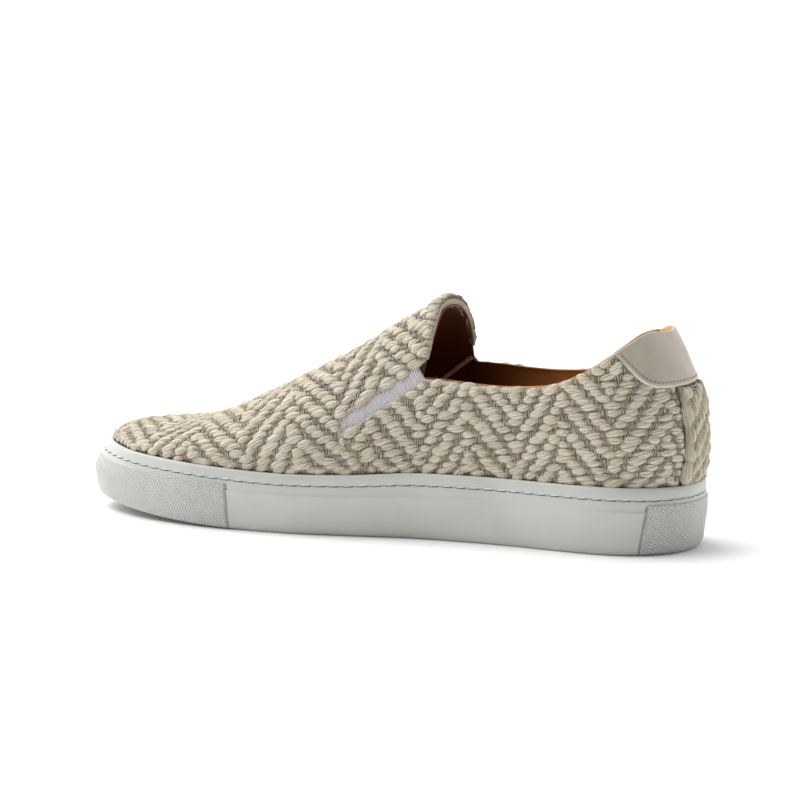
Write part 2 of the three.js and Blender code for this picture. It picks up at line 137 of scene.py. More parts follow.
@dataclass
class Last:
    """The form that the shoe is built on, from named sizes and short tables, in millimetres."""

    sole_length: float = 290.0
    ball_width: float = 102.0
    side_height: float = 29.7
    instep_height: float = 103.5
    heel_top: float = 95.0
    collar_height: float = 68.2
    collar_tilt: float = 0.02
    throat_at: float = 0.414
    throat_lean: float = 3.5
    toe_spring: float = 6.5
    fit_gap: float = 0.3
    cup_wall: float = 2.4
    rim_setback: float = 0.8
    heel_floor: float = 15.0
    ball_floor: float = 10.5
    upper_wall: float = 2.6
    swell: float = 2.0
    roll_width: float = 9.0
    roll_rise: float = 2.2
    heel_round: float = 0.135
    toe_round: float = 0.32
    heel_power: float = 2.15
    toe_power: float = 2.35
    toe_crown: float = 0.09
    heel_fade: float = 0.4
    toe_lip_lean: float = 6.2
    toe_lip_from: float = 0.8
    shift: tuple[float, float, float] = (1.25, 1.40, 0.0)
    stations: int = 220
    dome_steps: int = 44

    def __post_init__(self) -> None:
        """Sets up the tables of sections, as shares of the named sizes."""
        self.plan = Table(("medial", "lateral", "centre", "rim"), [
            (0.0, 0.33, 0.33, 0.0, 0.985),
            (0.15, 0.345, 0.345, 0.0, 1.0),
            (0.3, 0.322, 0.36, 0.0, 1.0),
            (0.4, 0.332, 0.398, 0.0, 0.99),
            (0.53, 0.405, 0.47, 0.006, 0.915),
            (0.62, 0.445, 0.51, 0.014, 0.9),
            (0.73, 0.45, 0.52, 0.022, 0.935),
            (0.87, 0.43, 0.485, 0.028, 1.0),
            (1.0, 0.39, 0.44, 0.03, 1.045),
        ])
        self.body = Table(("ridge", "medial", "lateral", "aside"), [
            (0.0, 1.206, 2.5, 2.5, 0.0),
            (0.25, 1.206, 2.5, 2.5, 0.0),
            (0.33, 1.12, 2.3, 2.6, 0.03),
            (0.37, 1.04, 2.2, 2.6, 0.06),
            (0.403, 0.981, 2.15, 2.55, 0.07),
            (0.43, 0.953, 2.1, 2.5, 0.07),
            (0.475, 0.883, 2.0, 2.4, 0.06),
            (0.545, 0.761, 2.0, 2.25, 0.045),
            (0.65, 0.609, 2.0, 2.1, 0.035),
            (0.72, 0.512, 2.0, 2.1, 0.025),
            (0.78, 0.44, 2.1, 2.1, 0.015),
            (0.85, 0.393, 2.2, 2.2, 0.005),
            (0.93, 0.375, 2.3, 2.3, 0.0),
            (1.0, 0.369, 2.3, 2.3, 0.0),
        ])
        self.heel_curve = Table(("lean",), [
            (0.0, 0.0), (0.31, 0.0), (0.42, -0.014), (0.6, 0.004), (0.7, 0.028),
            (0.78, 0.064), (0.9, 0.112), (1.0, 0.158), (1.35, 0.37),
        ])
        self.collar = Table(("medial", "lateral"), [
            (-0.05, 0.4, 0.4), (0.02, 0.5, 0.5), (0.03, 0.64, 0.64), (0.038, 0.77, 0.77),
            (0.047, 0.865, 0.865), (0.055, 0.925, 0.925), (0.062, 0.955, 0.95),
            (0.068, 0.965, 0.955), (0.076, 0.94, 0.945), (0.09, 0.81, 0.87),
            (0.112, 0.61, 0.69), (0.14, 0.39, 0.44), (0.16, 0.27, 0.31), (0.192, 0.12, 0.14),
            (0.221, 0.05, 0.06), (0.287, 0.0, 0.02), (0.33, 0.01, 0.03),
            (0.364, 0.035, 0.05), (self.throat_at, 0.05, 0.06),
        ])

    def x_of(self, at: Array) -> Array:
        """Distance along the shoe of a share of its length, in the frame's millimetres."""
        return (np.asarray(at, float) - 0.5) * self.sole_length + self.shift[0]

    def share_of(self, x: Array) -> Array:
        """Share of the length at a place in the frame's millimetres."""
        return (np.asarray(x, float) - self.shift[0]) / self.sole_length + 0.5

    def ring_shares(self, count: int) -> Array:
        """Shares of the length round one ring, heel first along the medial side."""
        return 0.5 - 0.5 * np.cos(np.pi * np.arange(2 * count) / count)

    def rim(self, at: Array) -> Array:
        """Height of the cup sole's rim."""
        return self.side_height * self.plan.at("rim", at)

    def spring(self, at: Array) -> Array:
        """Rise of the sole's underside towards the toe."""
        return self.toe_spring * np.maximum(0, (at - 0.64) / 0.36) ** 2

    def floor(self, at: Array) -> Array:
        """Height of the cup's floor."""
        fall = (self.ball_floor - self.heel_floor) * smooth((at - 0.25) / 0.4)
        return self.spring(at) + self.heel_floor + fall

    def lip_lean(self, at: Array) -> Array:
        """Extra setback of the rim at the toe."""
        return self.toe_lip_lean * smooth((at - self.toe_lip_from) / (1 - self.toe_lip_from)) ** 2

    @property
    def feather(self) -> float:
        """Inset of the upper's foot from the sole's widest line."""
        return self.rim_setback + self.cup_wall + self.fit_gap

    def plan_ring(self, inset: Array | float, count: int) -> tuple[Array, Array, Array]:
        """One closed ring round the shoe, seen from above.

        Args:
            inset: distance inside the widest line, one number or one for each corner.
            count: steps from heel to toe on one side.

        Returns:
            The shares of the length, and each corner's x and y.
        """
        at = self.ring_shares(count)
        medial = np.arange(2 * count) <= count
        half = np.where(medial, self.plan.at("medial", at), self.plan.at("lateral", at))
        heel = np.maximum(0, 1 - at / self.heel_round)
        toe = np.maximum(0, 1 - (1 - at) / self.toe_round)
        ends = (1 - heel ** self.heel_power) ** (1 / self.heel_power)
        ends = ends * (1 - toe ** self.toe_power) ** (1 / self.toe_power)
        centre = self.ball_width * self.plan.at("centre", at)
        x = (at - 0.5) * self.sole_length
        y = centre + np.where(medial, 1, -1) * half * self.ball_width * ends
        t = np.stack([np.roll(x, -1) - np.roll(x, 1), np.roll(y, -1) - np.roll(y, 1)], -1)
        t = unit(t)
        return at, x + t[:, 1] * inset + self.shift[0], y - t[:, 0] * inset + self.shift[1]

    def grid(self, offset: Array | float = 0.0, count: int = 0, steps: int = 0) -> Array:
        """The last's skirt and dome, grown or shrunk along its own normals.

        Args:
            offset: growth in millimetres, one number or an array over the grid.
            count: stations on a side, or 0 for the class's own.
            steps: steps from the rim to the ridge, or 0 for the class's own.

        Returns:
            Points, one row of rings from the cup's floor to the ridge.
        """
        count, steps = count or self.stations, steps or self.dome_steps
        at = self.ring_shares(count)
        lean = self.feather + self.lip_lean(at)
        _, x, y = self.plan_ring(lean, count)
        rings = [np.stack([x, y, self.floor(at)], -1)]
        rings.append(np.stack([x, y, 0.5 * (self.floor(at) + self.rim(at))], -1))
        taper = smooth((1 - at) / 0.25)
        for k in range(steps + 1):
            swell = self.swell * math.sin(math.pi * min(1, 2.2 * k / steps))
            _, x, y = self.plan_ring(lean - swell * taper, count)
            rings.append(self.dome(at, x, y, 0.5 * math.pi * k / steps))
        base = np.array(rings)
        return base + self.normals(base) * (offset if np.isscalar(offset) else offset[..., None])

    def dome(self, at: Array, x: Array, y: Array, turn: float) -> Array:
        """One ring of the dome.

        Args:
            at: shares of the length.
            x: the foot ring's x.
            y: the foot ring's y.
            turn: angle from the rim, 0, to the ridge, a quarter turn.

        Returns:
            The ring's points.
        """
        centre = self.ball_width * self.plan.at("centre", at) + self.shift[1]
        full = np.where(y < centre, self.body.at("lateral", at), self.body.at("medial", at))
        rim = self.rim(at)
        toe = np.maximum(0, 1 - (1 - at) / self.toe_crown)
        crown = np.maximum(0, 1 - toe ** 2.2) ** (1 / 2.2)
        ridge = rim + (self.instep_height * self.body.at("ridge", at) - rim) * crown
        across = max(0.0, math.cos(turn)) ** (2 / full)
        z = rim + (ridge - rim) * math.sin(turn) ** (2 / full)
        fade = np.maximum(0, 1 - at / self.heel_fade) ** 2
        lean = self.heel_top * self.heel_curve.at("lean", z / self.heel_top) * fade
        aside = self.ball_width * self.body.at("aside", at) * (1 - across)
        return np.stack([x + lean, centre + aside + (y - centre) * across, z], -1)

    def normals(self, base: Array) -> Array:
        """Outward normals of a grid of rings.

        Args:
            base: points, rings by corners.

        Returns:
            Unit vectors of the same shape.
        """
        count = base.shape[1]
        along = np.roll(base, -1, 1) - np.roll(base, 1, 1)
        rise = np.empty_like(base)
        rise[1:-1] = base[2:] - base[:-2]
        rise[0] = base[1] - base[0]
        mirror = (-np.arange(count)) % count
        rise[-1] = base[-2][mirror] - base[-2]
        normal = np.cross(rise, along)
        normal[:2, :, 2] = 0
        normal[-1, :, 1] = 0
        flat = np.linalg.norm(normal, axis=-1) < 1e-9
        normal[flat] = [1, 0, 0]
        heel = flat.copy()
        heel[:, 1:] = False
        normal[heel] = [-1, 0, 0]
        return unit(normal)

    def collar_height_at(self, x: Array, y: Array) -> Array:
        """Height of the collar line over a place.

        Args:
            x: along the shoe.
            y: across the shoe.

        Returns:
            The cut's height there.
        """
        at, aside = self.share_of(x), np.asarray(y) - self.shift[1]
        rise = np.where(aside > 0, self.collar.at("medial", at), self.collar.at("lateral", at))
        height = self.collar_height + (self.heel_top - self.collar_height) * rise
        return height + self.collar_tilt * aside

    @property
    def throat_x(self) -> float:
        """Place of the throat's foot along the shoe."""
        return float(self.x_of(self.throat_at))

    def throat_plane(self, z: Array) -> Array:
        """The throat's edge in side view: its place along the shoe at a height."""
        low = self.collar_height + 0.05 * (self.heel_top - self.collar_height)
        share = np.clip((np.asarray(z) - low) / (self.instep_height * 0.97 - low), 0, 1)
        return self.throat_x - self.throat_lean * share

    def fold_growth(self, base: Array) -> Array:
        """How far the folded edge of the throat stands out of the cloth.

        Args:
            base: points of the last.

        Returns:
            Growth at each point.
        """
        near = 1 - (base[..., 0] - self.throat_plane(base[..., 2])) / self.roll_width
        high = smooth((base[..., 2] - 74) / 8)
        return self.roll_rise * np.sqrt(np.clip(near, 0, 1)) * high


LAST = Last()


@dataclass(frozen=True)
class SideLine:
    """A line in side view, as shares of the length and of the instep's height."""

    points: tuple[tuple[float, float], ...]

    def mm(self) -> Array:
        """The line's points in the frame's millimetres, x and z."""
        p = np.array(self.points)
        return np.stack([LAST.x_of(p[:, 0]), p[:, 1] * LAST.instep_height], -1)


GORE_WIDTH = 7.0
GORE_LINE = SideLine(((0.418, 0.688), (0.531, 0.463)))
SEAM_LINE = SideLine(((0.528, 0.45), (0.526, 0.426), (0.514, 0.382), (0.501, 0.323), (0.478, 0.24)))
TAB_LINE = Table(("high",), [
    (-0.05, 0.757), (0.035, 0.752), (0.047, 0.754), (0.059, 0.768), (0.071, 0.794),
    (0.084, 0.834), (0.099, 0.879), (0.109, 0.91), (0.116, 1.1),
])


def gore_outline(margin: float, reach: float = 2 * GORE_WIDTH) -> Array:
    """The gore's slot in side view, its foot cut upright.

    Args:
        margin: growth all round, negative to shrink.
        reach: how far the slot runs on past its top.

    Returns:
        Four corners, x and z.
    """
    top, foot = GORE_LINE.mm()
    along = unit(foot - top)
    half = (GORE_WIDTH / 2 + margin) / along[0]
    start = top - along * reach
    end = foot + along * margin / along[0]
    return np.array([start - [0, half], end - [0, half], end + [0, half], start + [0, half]])


def inside_gore(p: Array, margin: float) -> Array:
    """Whether points lie in the gore's slot in side view.

    Args:
        p: points.
        margin: growth of the slot.

    Returns:
        True for each point inside.
    """
    low_start, low_end, _, high_start = gore_outline(margin, 12)
    slope = (low_end - low_start)[1] / (low_end - low_start)[0]
    low = low_start[1] + slope * (p[..., 0] - low_start[0])
    high = high_start[1] + slope * (p[..., 0] - high_start[0])
    return (p[..., 0] < low_end[0]) & (p[..., 2] > low) & (p[..., 2] < high)


def seam_x(z: Array) -> Array:
    """The boundary between vamp and quarter in side view: its x at a height."""
    seam = SEAM_LINE.mm()[::-1]
    top, _ = GORE_LINE.mm()
    heights = np.concatenate([seam[:, 1], [top[1] + 3]])
    places = np.concatenate([seam[:, 0], [top[0]]])
    return np.interp(z, heights, places)


# Looks ---------------------------------------------------------------------------------------


def linear(hex_colour: str, alpha: float = 1.0) -> tuple[float, float, float, float]:
    """An sRGB hex colour as linear light.

    Args:
        hex_colour: six hex digits.
        alpha: opacity.

    Returns:
        Red, green, blue and alpha.
    """
    parts = [int(hex_colour[i : i + 2], 16) / 255 for i in (0, 2, 4)]
    rgb = [c / 12.92 if c <= 0.04045 else ((c + 0.055) / 1.055) ** 2.4 for c in parts]
    return (rgb[0], rgb[1], rgb[2], alpha)


def add_node(mat: bpy.types.Material, kind: str, links: dict[Any, Any] | None = None,
             **settings: Any) -> bpy.types.Node:
    """Adds a shader node with its settings and links.

    Args:
        mat: the material.
        kind: the node's type without the ShaderNode prefix.
        links: input name or number to a socket, or to a value.
        settings: the node's own properties.

    Returns:
        The new node.
    """
    node = mat.node_tree.nodes.new("ShaderNode" + kind)
    for key, value in settings.items():
        setattr(node, key, value)
    for key, value in (links or {}).items():
        if isinstance(value, bpy.types.NodeSocket):
            mat.node_tree.links.new(value, node.inputs[key])
        else:
            node.inputs[key].default_value = value
    return node


def ramp(mat: bpy.types.Material, source: bpy.types.NodeSocket,
         stops: Sequence[tuple[float, str]]) -> bpy.types.NodeSocket:
    """Colours a number by a ramp of hex colours.

    Args:
        mat: the material.
        source: the number.
        stops: positions and colours.

    Returns:
        The colour socket.
    """
    node = add_node(mat, "ValToRGB", {"Fac": source})
    while len(node.color_ramp.elements) < len(stops):
        node.color_ramp.elements.new(0.5)
    for element, (position, colour) in zip(node.color_ramp.elements, stops):
        element.position = position
        element.color = linear(colour)
    return node.outputs["Color"]


def blended(mat: bpy.types.Material, mask: bpy.types.NodeSocket,
            base: bpy.types.NodeSocket, colour: str) -> bpy.types.NodeSocket:
    """One colour laid over another.

    Args:
        mat: the material.
        mask: where it lies, 0 to 1.
        base: the colour under it.
        colour: the colour over it, in hex.

    Returns:
        The colour socket.
    """
    node = add_node(mat, "Mix", {0: mask, 6: base, 7: linear(colour)}, data_type="RGBA")
    return node.outputs[2]


@dataclass(frozen=True)
class Finish:
    """What every finish has: a name and the typical values of its real material."""

    name: str
    roughness: float = 0.6
    specular: float = 0.5
    sheen: float = 0.0
    coat: float = 0.0

    def start(self) -> tuple[bpy.types.Material, bpy.types.Node]:
        """A new material with its shader.

        Returns:
            The material and its Principled BSDF.
        """
        mat = bpy.data.materials.new(self.name)
        mat.use_nodes = True
        bsdf = mat.node_tree.nodes["Principled BSDF"]
        bsdf.inputs["Roughness"].default_value = self.roughness
        bsdf.inputs["Specular IOR Level"].default_value = self.specular
        bsdf.inputs["Sheen Weight"].default_value = self.sheen
        bsdf.inputs["Sheen Roughness"].default_value = 0.5
        bsdf.inputs["Coat Weight"].default_value = self.coat
        return mat, bsdf

    def place(self, mat: bpy.types.Material, scale: tuple[float, float, float]
              ) -> bpy.types.NodeSocket:
        """The object's own place in metres, stretched.

        Args:
            mat: the material.
            scale: repeats per metre along each axis.

        Returns:
            The vector socket.
        """
        coordinates = add_node(mat, "TexCoord")
        node = add_node(mat, "Mapping", {"Vector": coordinates.outputs["Object"], "Scale": scale})
        return node.outputs["Vector"]

    def noise(self, mat: bpy.types.Material, size_mm: float, detail: float = 3.0
              ) -> bpy.types.NodeSocket:
        """Soft noise whose patches have a real size.

        Args:
            mat: the material.
            size_mm: size of a patch.
            detail: octaves.

        Returns:
            The number socket.
        """
        vector = self.place(mat, (1, 1, 1))
        node = add_node(mat, "TexNoise", {"Vector": vector, "Scale": 1000 / size_mm,
                                          "Detail": detail})
        return node.outputs["Fac"]

    def bump(self, mat: bpy.types.Material, bsdf: bpy.types.Node,
             height: bpy.types.NodeSocket, depth_mm: float, strength: float = 1.0) -> None:
        """Adds relief to the shader.

        Args:
            mat: the material.
            bsdf: its shader.
            height: the relief, 0 to 1.
            depth_mm: its real depth.
            strength: share of it that shows.
        """
        before = bsdf.inputs["Normal"]
        links: dict[Any, Any] = {"Height": height, "Distance": depth_mm * MM,
                                 "Strength": strength}
        if before.is_linked:
            links["Normal"] = before.links[0].from_socket
        node = add_node(mat, "Bump", links)
        mat.node_tree.links.new(node.outputs["Normal"], before)


@dataclass(frozen=True)
class YarnFinish(Finish):
    """Raw cotton yarn, spun: matt, with its fibres running along it and a soft halo of sheen."""

    light: str = "E6DECB"
    middle: str = "D6CAB3"
    dark: str = "BBAD94"
    fibre_mm: float = 0.38
    ply_mm: float = 0.9
    depth_mm: float = 0.12

    def build(self) -> bpy.types.Material:
        """The yarn's material. Its UV map runs along and round each yarn in millimetres."""
        mat, bsdf = self.start()
        uv = add_node(mat, "UVMap", uv_map="yarn").outputs["UV"]
        tone = add_node(mat, "Attribute", attribute_name="tone").outputs["Fac"]
        fibre = self.strands(mat, uv, self.fibre_mm, 0.3, 2.0)
        ply = self.strands(mat, uv, self.ply_mm, 0.35, 1.5)
        both = add_node(mat, "Math", {0: fibre, 1: ply}, operation="ADD").outputs["Value"]
        # The strand noise also sets the colour: the grooves between strands darker, partly the
        # strands' own tone and partly painted shade.
        level = add_node(mat, "Math", {0: both, 1: 0.2, 2: 0.24}, operation="MULTIPLY_ADD")
        toned = add_node(mat, "Math", {0: tone, 1: 0.2, 2: level.outputs["Value"]},
                         operation="MULTIPLY_ADD")
        colour = ramp(mat, toned.outputs["Value"],
                      [(0.3, self.dark), (0.48, self.middle), (0.68, self.light)])
        mat.node_tree.links.new(colour, bsdf.inputs["Base Color"])
        self.bump(mat, bsdf, ply, self.depth_mm * 2.5)
        self.bump(mat, bsdf, fibre, self.depth_mm)
        return mat

    def strands(self, mat: bpy.types.Material, uv: bpy.types.NodeSocket, size_mm: float,
                stretch: float, detail: float) -> bpy.types.NodeSocket:
        """Noise drawn out along the yarn, as its twisted strands.

        Args:
            mat: the material.
            uv: millimetres along and round the yarn.
            size_mm: width of a strand.
            stretch: its width over its length.
            detail: octaves.

        Returns:
            The number socket.
        """
        turned = add_node(mat, "Mapping", {"Vector": uv, "Rotation": (0, 0, 0.2),
                                           "Scale": (stretch, 1, 1)})
        waves = add_node(mat, "TexWave", {"Vector": turned.outputs["Vector"],
                                          "Scale": math.pi / 10 / size_mm, "Distortion": 3.5,
                                          "Detail": detail, "Detail Scale": 1.6,
                                          "Detail Roughness": 0.6}, bands_direction="Y")
        return waves.outputs["Fac"]


@dataclass(frozen=True)
class GroundFinish(Finish):
    """The cloth's ground between its floats: thin warps close together, coloured darker than the
    yarn, partly the ground cloth's own beige and partly painted shade between the floats.
    """

    light: str = "BDB098"
    dark: str = "958873"
    pitch_mm: float = 1.1

    def build(self) -> bpy.types.Material:
        """The ground's material."""
        mat, bsdf = self.start()
        vector = self.place(mat, (1, 0.2, 0.12))
        node = add_node(mat, "TexNoise", {"Vector": vector, "Scale": 1000 / self.pitch_mm,
                                          "Detail": 2.0})
        # The dark stops are partly the ground's own colour and partly painted shade of the gaps
        # between floats.
        colour = ramp(mat, node.outputs["Fac"], [(0.35, self.dark), (0.65, self.light)])
        mat.node_tree.links.new(colour, bsdf.inputs["Base Color"])
        self.bump(mat, bsdf, node.outputs["Fac"], 0.4)
        return mat


@dataclass(frozen=True)
class LeatherFinish(Finish):
    """Smooth dressed leather: fine pores, faint mottling, a satin face."""

    light: str = "D8CEC3"
    dark: str = "C3B7AA"
    pore_mm: float = 0.35
    depth_mm: float = 0.03
    mottle_mm: float = 9.0

    def build(self) -> bpy.types.Material:
        """The leather's material."""
        mat, bsdf = self.start()
        colour = ramp(mat, self.noise(mat, self.mottle_mm),
                      [(0.3, self.dark), (0.7, self.light)])
        mat.node_tree.links.new(colour, bsdf.inputs["Base Color"])
        cells = add_node(mat, "TexVoronoi", {"Vector": self.place(mat, (1, 1, 1)),
                                             "Scale": 1000 / self.pore_mm})
        self.bump(mat, bsdf, self.noise(mat, 2.5), self.depth_mm * 1.5)
        self.bump(mat, bsdf, cells.outputs["Distance"], self.depth_mm)
        return mat


@dataclass(frozen=True)
class LiningFinish(LeatherFinish):
    """Vegetable-tanned lining, tan at the heel, with painted shade: its colour turns deep brown
    towards the toe, where the throat's inside lies in shade.
    """

    throat_painted_shade: str = "57321F"
    from_x: float = -0.07
    to_x: float = -0.022

    def build(self) -> bpy.types.Material:
        """The lining's material."""
        mat = super().build()
        bsdf = mat.node_tree.nodes["Principled BSDF"]
        base = bsdf.inputs["Base Color"].links[0].from_socket
        # Painted shade: between from_x and to_x the lining's colour blends into deep brown,
        # standing in for the throat's shade.
        place = add_node(mat, "SeparateXYZ", {0: self.place(mat, (1, 1, 1))})
        share = add_node(mat, "MapRange", {"Value": place.outputs["X"], "From Min": self.from_x,
                                           "From Max": self.to_x})
        mat.node_tree.links.new(blended(mat, share.outputs["Result"], base, self.throat_painted_shade),
                                bsdf.inputs["Base Color"])
        return mat


@dataclass(frozen=True)
class TabFinish(LeatherFinish):
    """The same leather dyed taupe, its raw cut edge paler. "cut_edge" is 1 along that edge."""

    light: str = "C4B9AB"
    dark: str = "B9AEA0"
    edge: str = "E8E0D6"

    def build(self) -> bpy.types.Material:
        """The tab's material."""
        mat = super().build()
        bsdf = mat.node_tree.nodes["Principled BSDF"]
        base = bsdf.inputs["Base Color"].links[0].from_socket
        cut = add_node(mat, "Attribute", attribute_name="cut_edge").outputs["Fac"]
        mat.node_tree.links.new(blended(mat, cut, base, self.edge), bsdf.inputs["Base Color"])
        return mat


@dataclass(frozen=True)
class ElasticFinish(Finish):
    """Ribbed elastic webbing: rubber cores wrapped in thread, in fine parallel ribs."""

    light: str = "F4EFF2"
    dark: str = "CFC8CC"
    rib_mm: float = 1.0
    thread_mm: float = 0.45

    def build(self) -> bpy.types.Material:
        """The webbing's material. Its UV map is in millimetres, along and across the strip."""
        mat, bsdf = self.start()
        uv = add_node(mat, "UVMap", uv_map="yarn").outputs["UV"]
        ribs = add_node(mat, "TexWave", {"Vector": uv, "Scale": 1 / self.rib_mm * math.pi / 10,
                                         "Distortion": 0.3, "Detail": 1.0},
                        bands_direction="X")
        threads = add_node(mat, "TexWave",
                           {"Vector": uv, "Scale": 1 / self.thread_mm * math.pi / 10,
                            "Distortion": 0.4}, bands_direction="Y")
        level = add_node(mat, "Math", {0: ribs.outputs["Fac"], 1: threads.outputs["Fac"]},
                         operation="MULTIPLY")
        lifted = add_node(mat, "Math", {0: ribs.outputs["Fac"], 1: 0.6,
                                        2: level.outputs["Value"]}, operation="MULTIPLY_ADD")
        colour = ramp(mat, lifted.outputs["Value"], [(0.05, self.dark), (0.9, self.light)])
        mat.node_tree.links.new(colour, bsdf.inputs["Base Color"])
        self.bump(mat, bsdf, lifted.outputs["Value"], 0.3)
        return mat


@dataclass(frozen=True)
class RubberFinish(Finish):
    """Moulded natural rubber, off-white: satin, with faint flow marks, creases and dust, and
    painted shade in the stitch holes and along the panels' grooves.
    """

    light: str = "D3D4D0"
    dark: str = "CDCECA"
    dust: str = "C9C7C1"
    # dark grey of the painted shade in the stitch holes and the panels' grooves
    groove_painted_shade: str = "83878A"
    rib_mm: float = 1.25

    def build(self) -> bpy.types.Material:
        """The rubber's material. The attribute "ribbed" is 1 on the ribbed panels; another
        attribute lays painted shade in the stitch holes and the panels' grooves.
        """
        mat, bsdf = self.start()
        base = ramp(mat, self.noise(mat, 26), [(0.35, self.dark), (0.65, self.light)])
        specks = ramp(mat, self.noise(mat, 1.4, 2), [(0.70, "000000"), (0.78, "FFFFFF")])
        patches = ramp(mat, self.noise(mat, 17, 2), [(0.56, "000000"), (0.72, "FFFFFF")])
        dirty = add_node(mat, "Math", {0: specks, 1: patches}, operation="MULTIPLY")
        mask = add_node(mat, "Math", {0: dirty.outputs["Value"], 1: 0.35}, operation="MULTIPLY")
        dusty = blended(mat, mask.outputs["Value"], base, self.dust)
        # Painted shade: a dark grey blended in where the stitch holes and the panels' grooves lie
        # in shade.
        groove_painted_shade = add_node(mat, "Attribute", attribute_name="groove_painted_shade").outputs["Fac"]
        mat.node_tree.links.new(blended(mat, groove_painted_shade, dusty, self.groove_painted_shade), bsdf.inputs["Base Color"])
        uv = add_node(mat, "UVMap", uv_map="yarn").outputs["UV"]
        crossed = self.crosshatch(mat, uv)
        ribbed = add_node(mat, "Attribute", attribute_name="ribbed").outputs["Fac"]
        relief = add_node(mat, "Math", {0: crossed, 1: ribbed}, operation="MULTIPLY")
        self.bump(mat, bsdf, self.noise(mat, 8, 2), 0.12)
        self.bump(mat, bsdf, relief.outputs["Value"], 0.45)
        bsdf.inputs["Subsurface Weight"].default_value = 0.08
        bsdf.inputs["Subsurface Radius"].default_value = (1, 0.95, 0.9)
        bsdf.inputs["Subsurface Scale"].default_value = 0.0015
        return mat

    def crosshatch(self, mat: bpy.types.Material, uv: bpy.types.NodeSocket
                   ) -> bpy.types.NodeSocket:
        """Two sets of fine slanted ribs, crossing.

        Args:
            mat: the material.
            uv: millimetres along and up the side.

        Returns:
            Relief, 0 to 1.
        """
        waves = []
        for angle in (math.radians(62), math.radians(-28)):
            turned = add_node(mat, "Mapping", {"Vector": uv, "Rotation": (0, 0, angle)})
            wave = add_node(mat, "TexWave",
                            {"Vector": turned.outputs["Vector"],
                             "Scale": 1 / self.rib_mm * math.pi / 10}, bands_direction="X")
            waves.append(wave.outputs["Fac"])
        node = add_node(mat, "Math", {0: waves[0], 1: waves[1]}, operation="MULTIPLY")
        return node.outputs["Value"]


@dataclass(frozen=True)
class PlainFinish(Finish):
    """A floor or a hidden face: one matt colour with a trace of unevenness."""

    light: str = "F4F4F4"
    dark: str = "F0F0F0"
    size_mm: float = 60.0

    def build(self) -> bpy.types.Material:
        """The plain material."""
        mat, bsdf = self.start()
        colour = ramp(mat, self.noise(mat, self.size_mm), [(0.3, self.dark), (0.7, self.light)])
        mat.node_tree.links.new(colour, bsdf.inputs["Base Color"])
        return mat


# Meshes --------------------------------------------------------------------------------------


def make_mesh(name: str, points: Array, faces: Sequence[Array], uv: Array | None = None,
              tone: Array | None = None, tone_name: str = "tone") -> bpy.types.Mesh:
    """Makes a smooth-shaded mesh.

    Args:
        name: its name.
        points: corners in millimetres, n by 3.
        faces: arrays of corner numbers, one face a row.
        uv: one pair of millimetres for each face corner.
        tone: one number for each point.
        tone_name: name of that attribute.

    Returns:
        The mesh.
    """
    mesh = bpy.data.meshes.new(name)
    sizes = np.concatenate([np.full(len(f), f.shape[1]) for f in faces if len(f)])
    loops = np.concatenate([f.ravel() for f in faces if len(f)]).astype(np.int32)
    mesh.vertices.add(len(points))
    mesh.vertices.foreach_set("co", (points * MM).astype(np.float32).ravel())
    mesh.loops.add(len(loops))
    mesh.loops.foreach_set("vertex_index", loops)
    mesh.polygons.add(len(sizes))
    starts = np.concatenate([[0], np.cumsum(sizes)[:-1]]).astype(np.int32)
    mesh.polygons.foreach_set("loop_start", starts)
    mesh.polygons.foreach_set("loop_total", sizes.astype(np.int32))
    mesh.update(calc_edges=True)
    mesh.polygons.foreach_set("use_smooth", np.ones(len(mesh.polygons), bool))
    if uv is not None:
        layer = mesh.uv_layers.new(name="yarn")
        layer.data.foreach_set("uv", uv.astype(np.float32).ravel())
    if tone is not None:
        layer = mesh.attributes.new(tone_name, "FLOAT", "POINT")
        layer.data.foreach_set("value", tone.astype(np.float32))
    return mesh


def new_piece(name: str, points: Array, faces: Sequence[Array],
              finishes: Sequence[bpy.types.Material], uv: Array | None = None,
              tone: Array | None = None, tone_name: str = "tone") -> bpy.types.Object:
    """Makes a mesh and puts it into the scene as a piece.

    Args:
        name: the piece's name.
        points: corners in millimetres, n by 3.
        faces: arrays of corner numbers, one face a row.
        finishes: its materials.
        uv: one pair of millimetres for each face corner.
        tone: one number for each point.
        tone_name: name of that attribute.

    Returns:
        The object.
    """
    mesh = make_mesh(name, points, faces, uv, tone, tone_name)
    for finish in finishes:
        mesh.materials.append(finish)
    return adopt(name, mesh)


def ring_faces(rings: int, count: int, closed: bool = True) -> Array:
    """Faces between stacked rings of equal count, facing out for clockwise rings seen from above.

    Args:
        rings: number of rings.
        count: corners on a ring.
        closed: whether each ring closes.

    Returns:
        Quads, n by 4.
    """
    r, j = np.meshgrid(np.arange(rings - 1), np.arange(count if closed else count - 1),
                       indexing="ij")
    r, j = r.ravel(), j.ravel()
    nxt = (j + 1) % count
    low, high = r * count, (r + 1) * count
    return np.stack([low + nxt, low + j, high + j, high + nxt], -1)


def cap_faces(count: int, base: int, up: bool) -> Array:
    """Strips across a ring that is its own mirror image, heel corner first.

    Args:
        count: corners on the ring.
        base: number of its first corner.
        up: whether the cap faces up.

    Returns:
        Quads, some with two equal corners at the ends.
    """
    j = np.arange(count // 2)
    across, across_next = (count - j) % count, count - j - 1
    quads = np.stack([j + 1, j, across, across_next] if up else
                     [j, j + 1, across_next, across], -1)
    return quads + base


def split_faces(quads: Array) -> list[Array]:
    """Sorts quads with a doubled corner out as triangles.

    Args:
        quads: n by 4 corner numbers.

    Returns:
        The true quads and the triangles.
    """
    same = [quads[:, i] == quads[:, (i + 1) % 4] for i in range(4)]
    flat = same[0] | same[1] | same[2] | same[3]
    triangles = []
    for i in range(4):
        pick = same[i] & ~(same[(i + 1) % 4] | same[(i + 2) % 4] | same[(i + 3) % 4])
        keep = [k for k in range(4) if k != (i + 1) % 4]
        triangles.append(quads[pick][:, keep])
    return [quads[~flat], np.concatenate(triangles)]


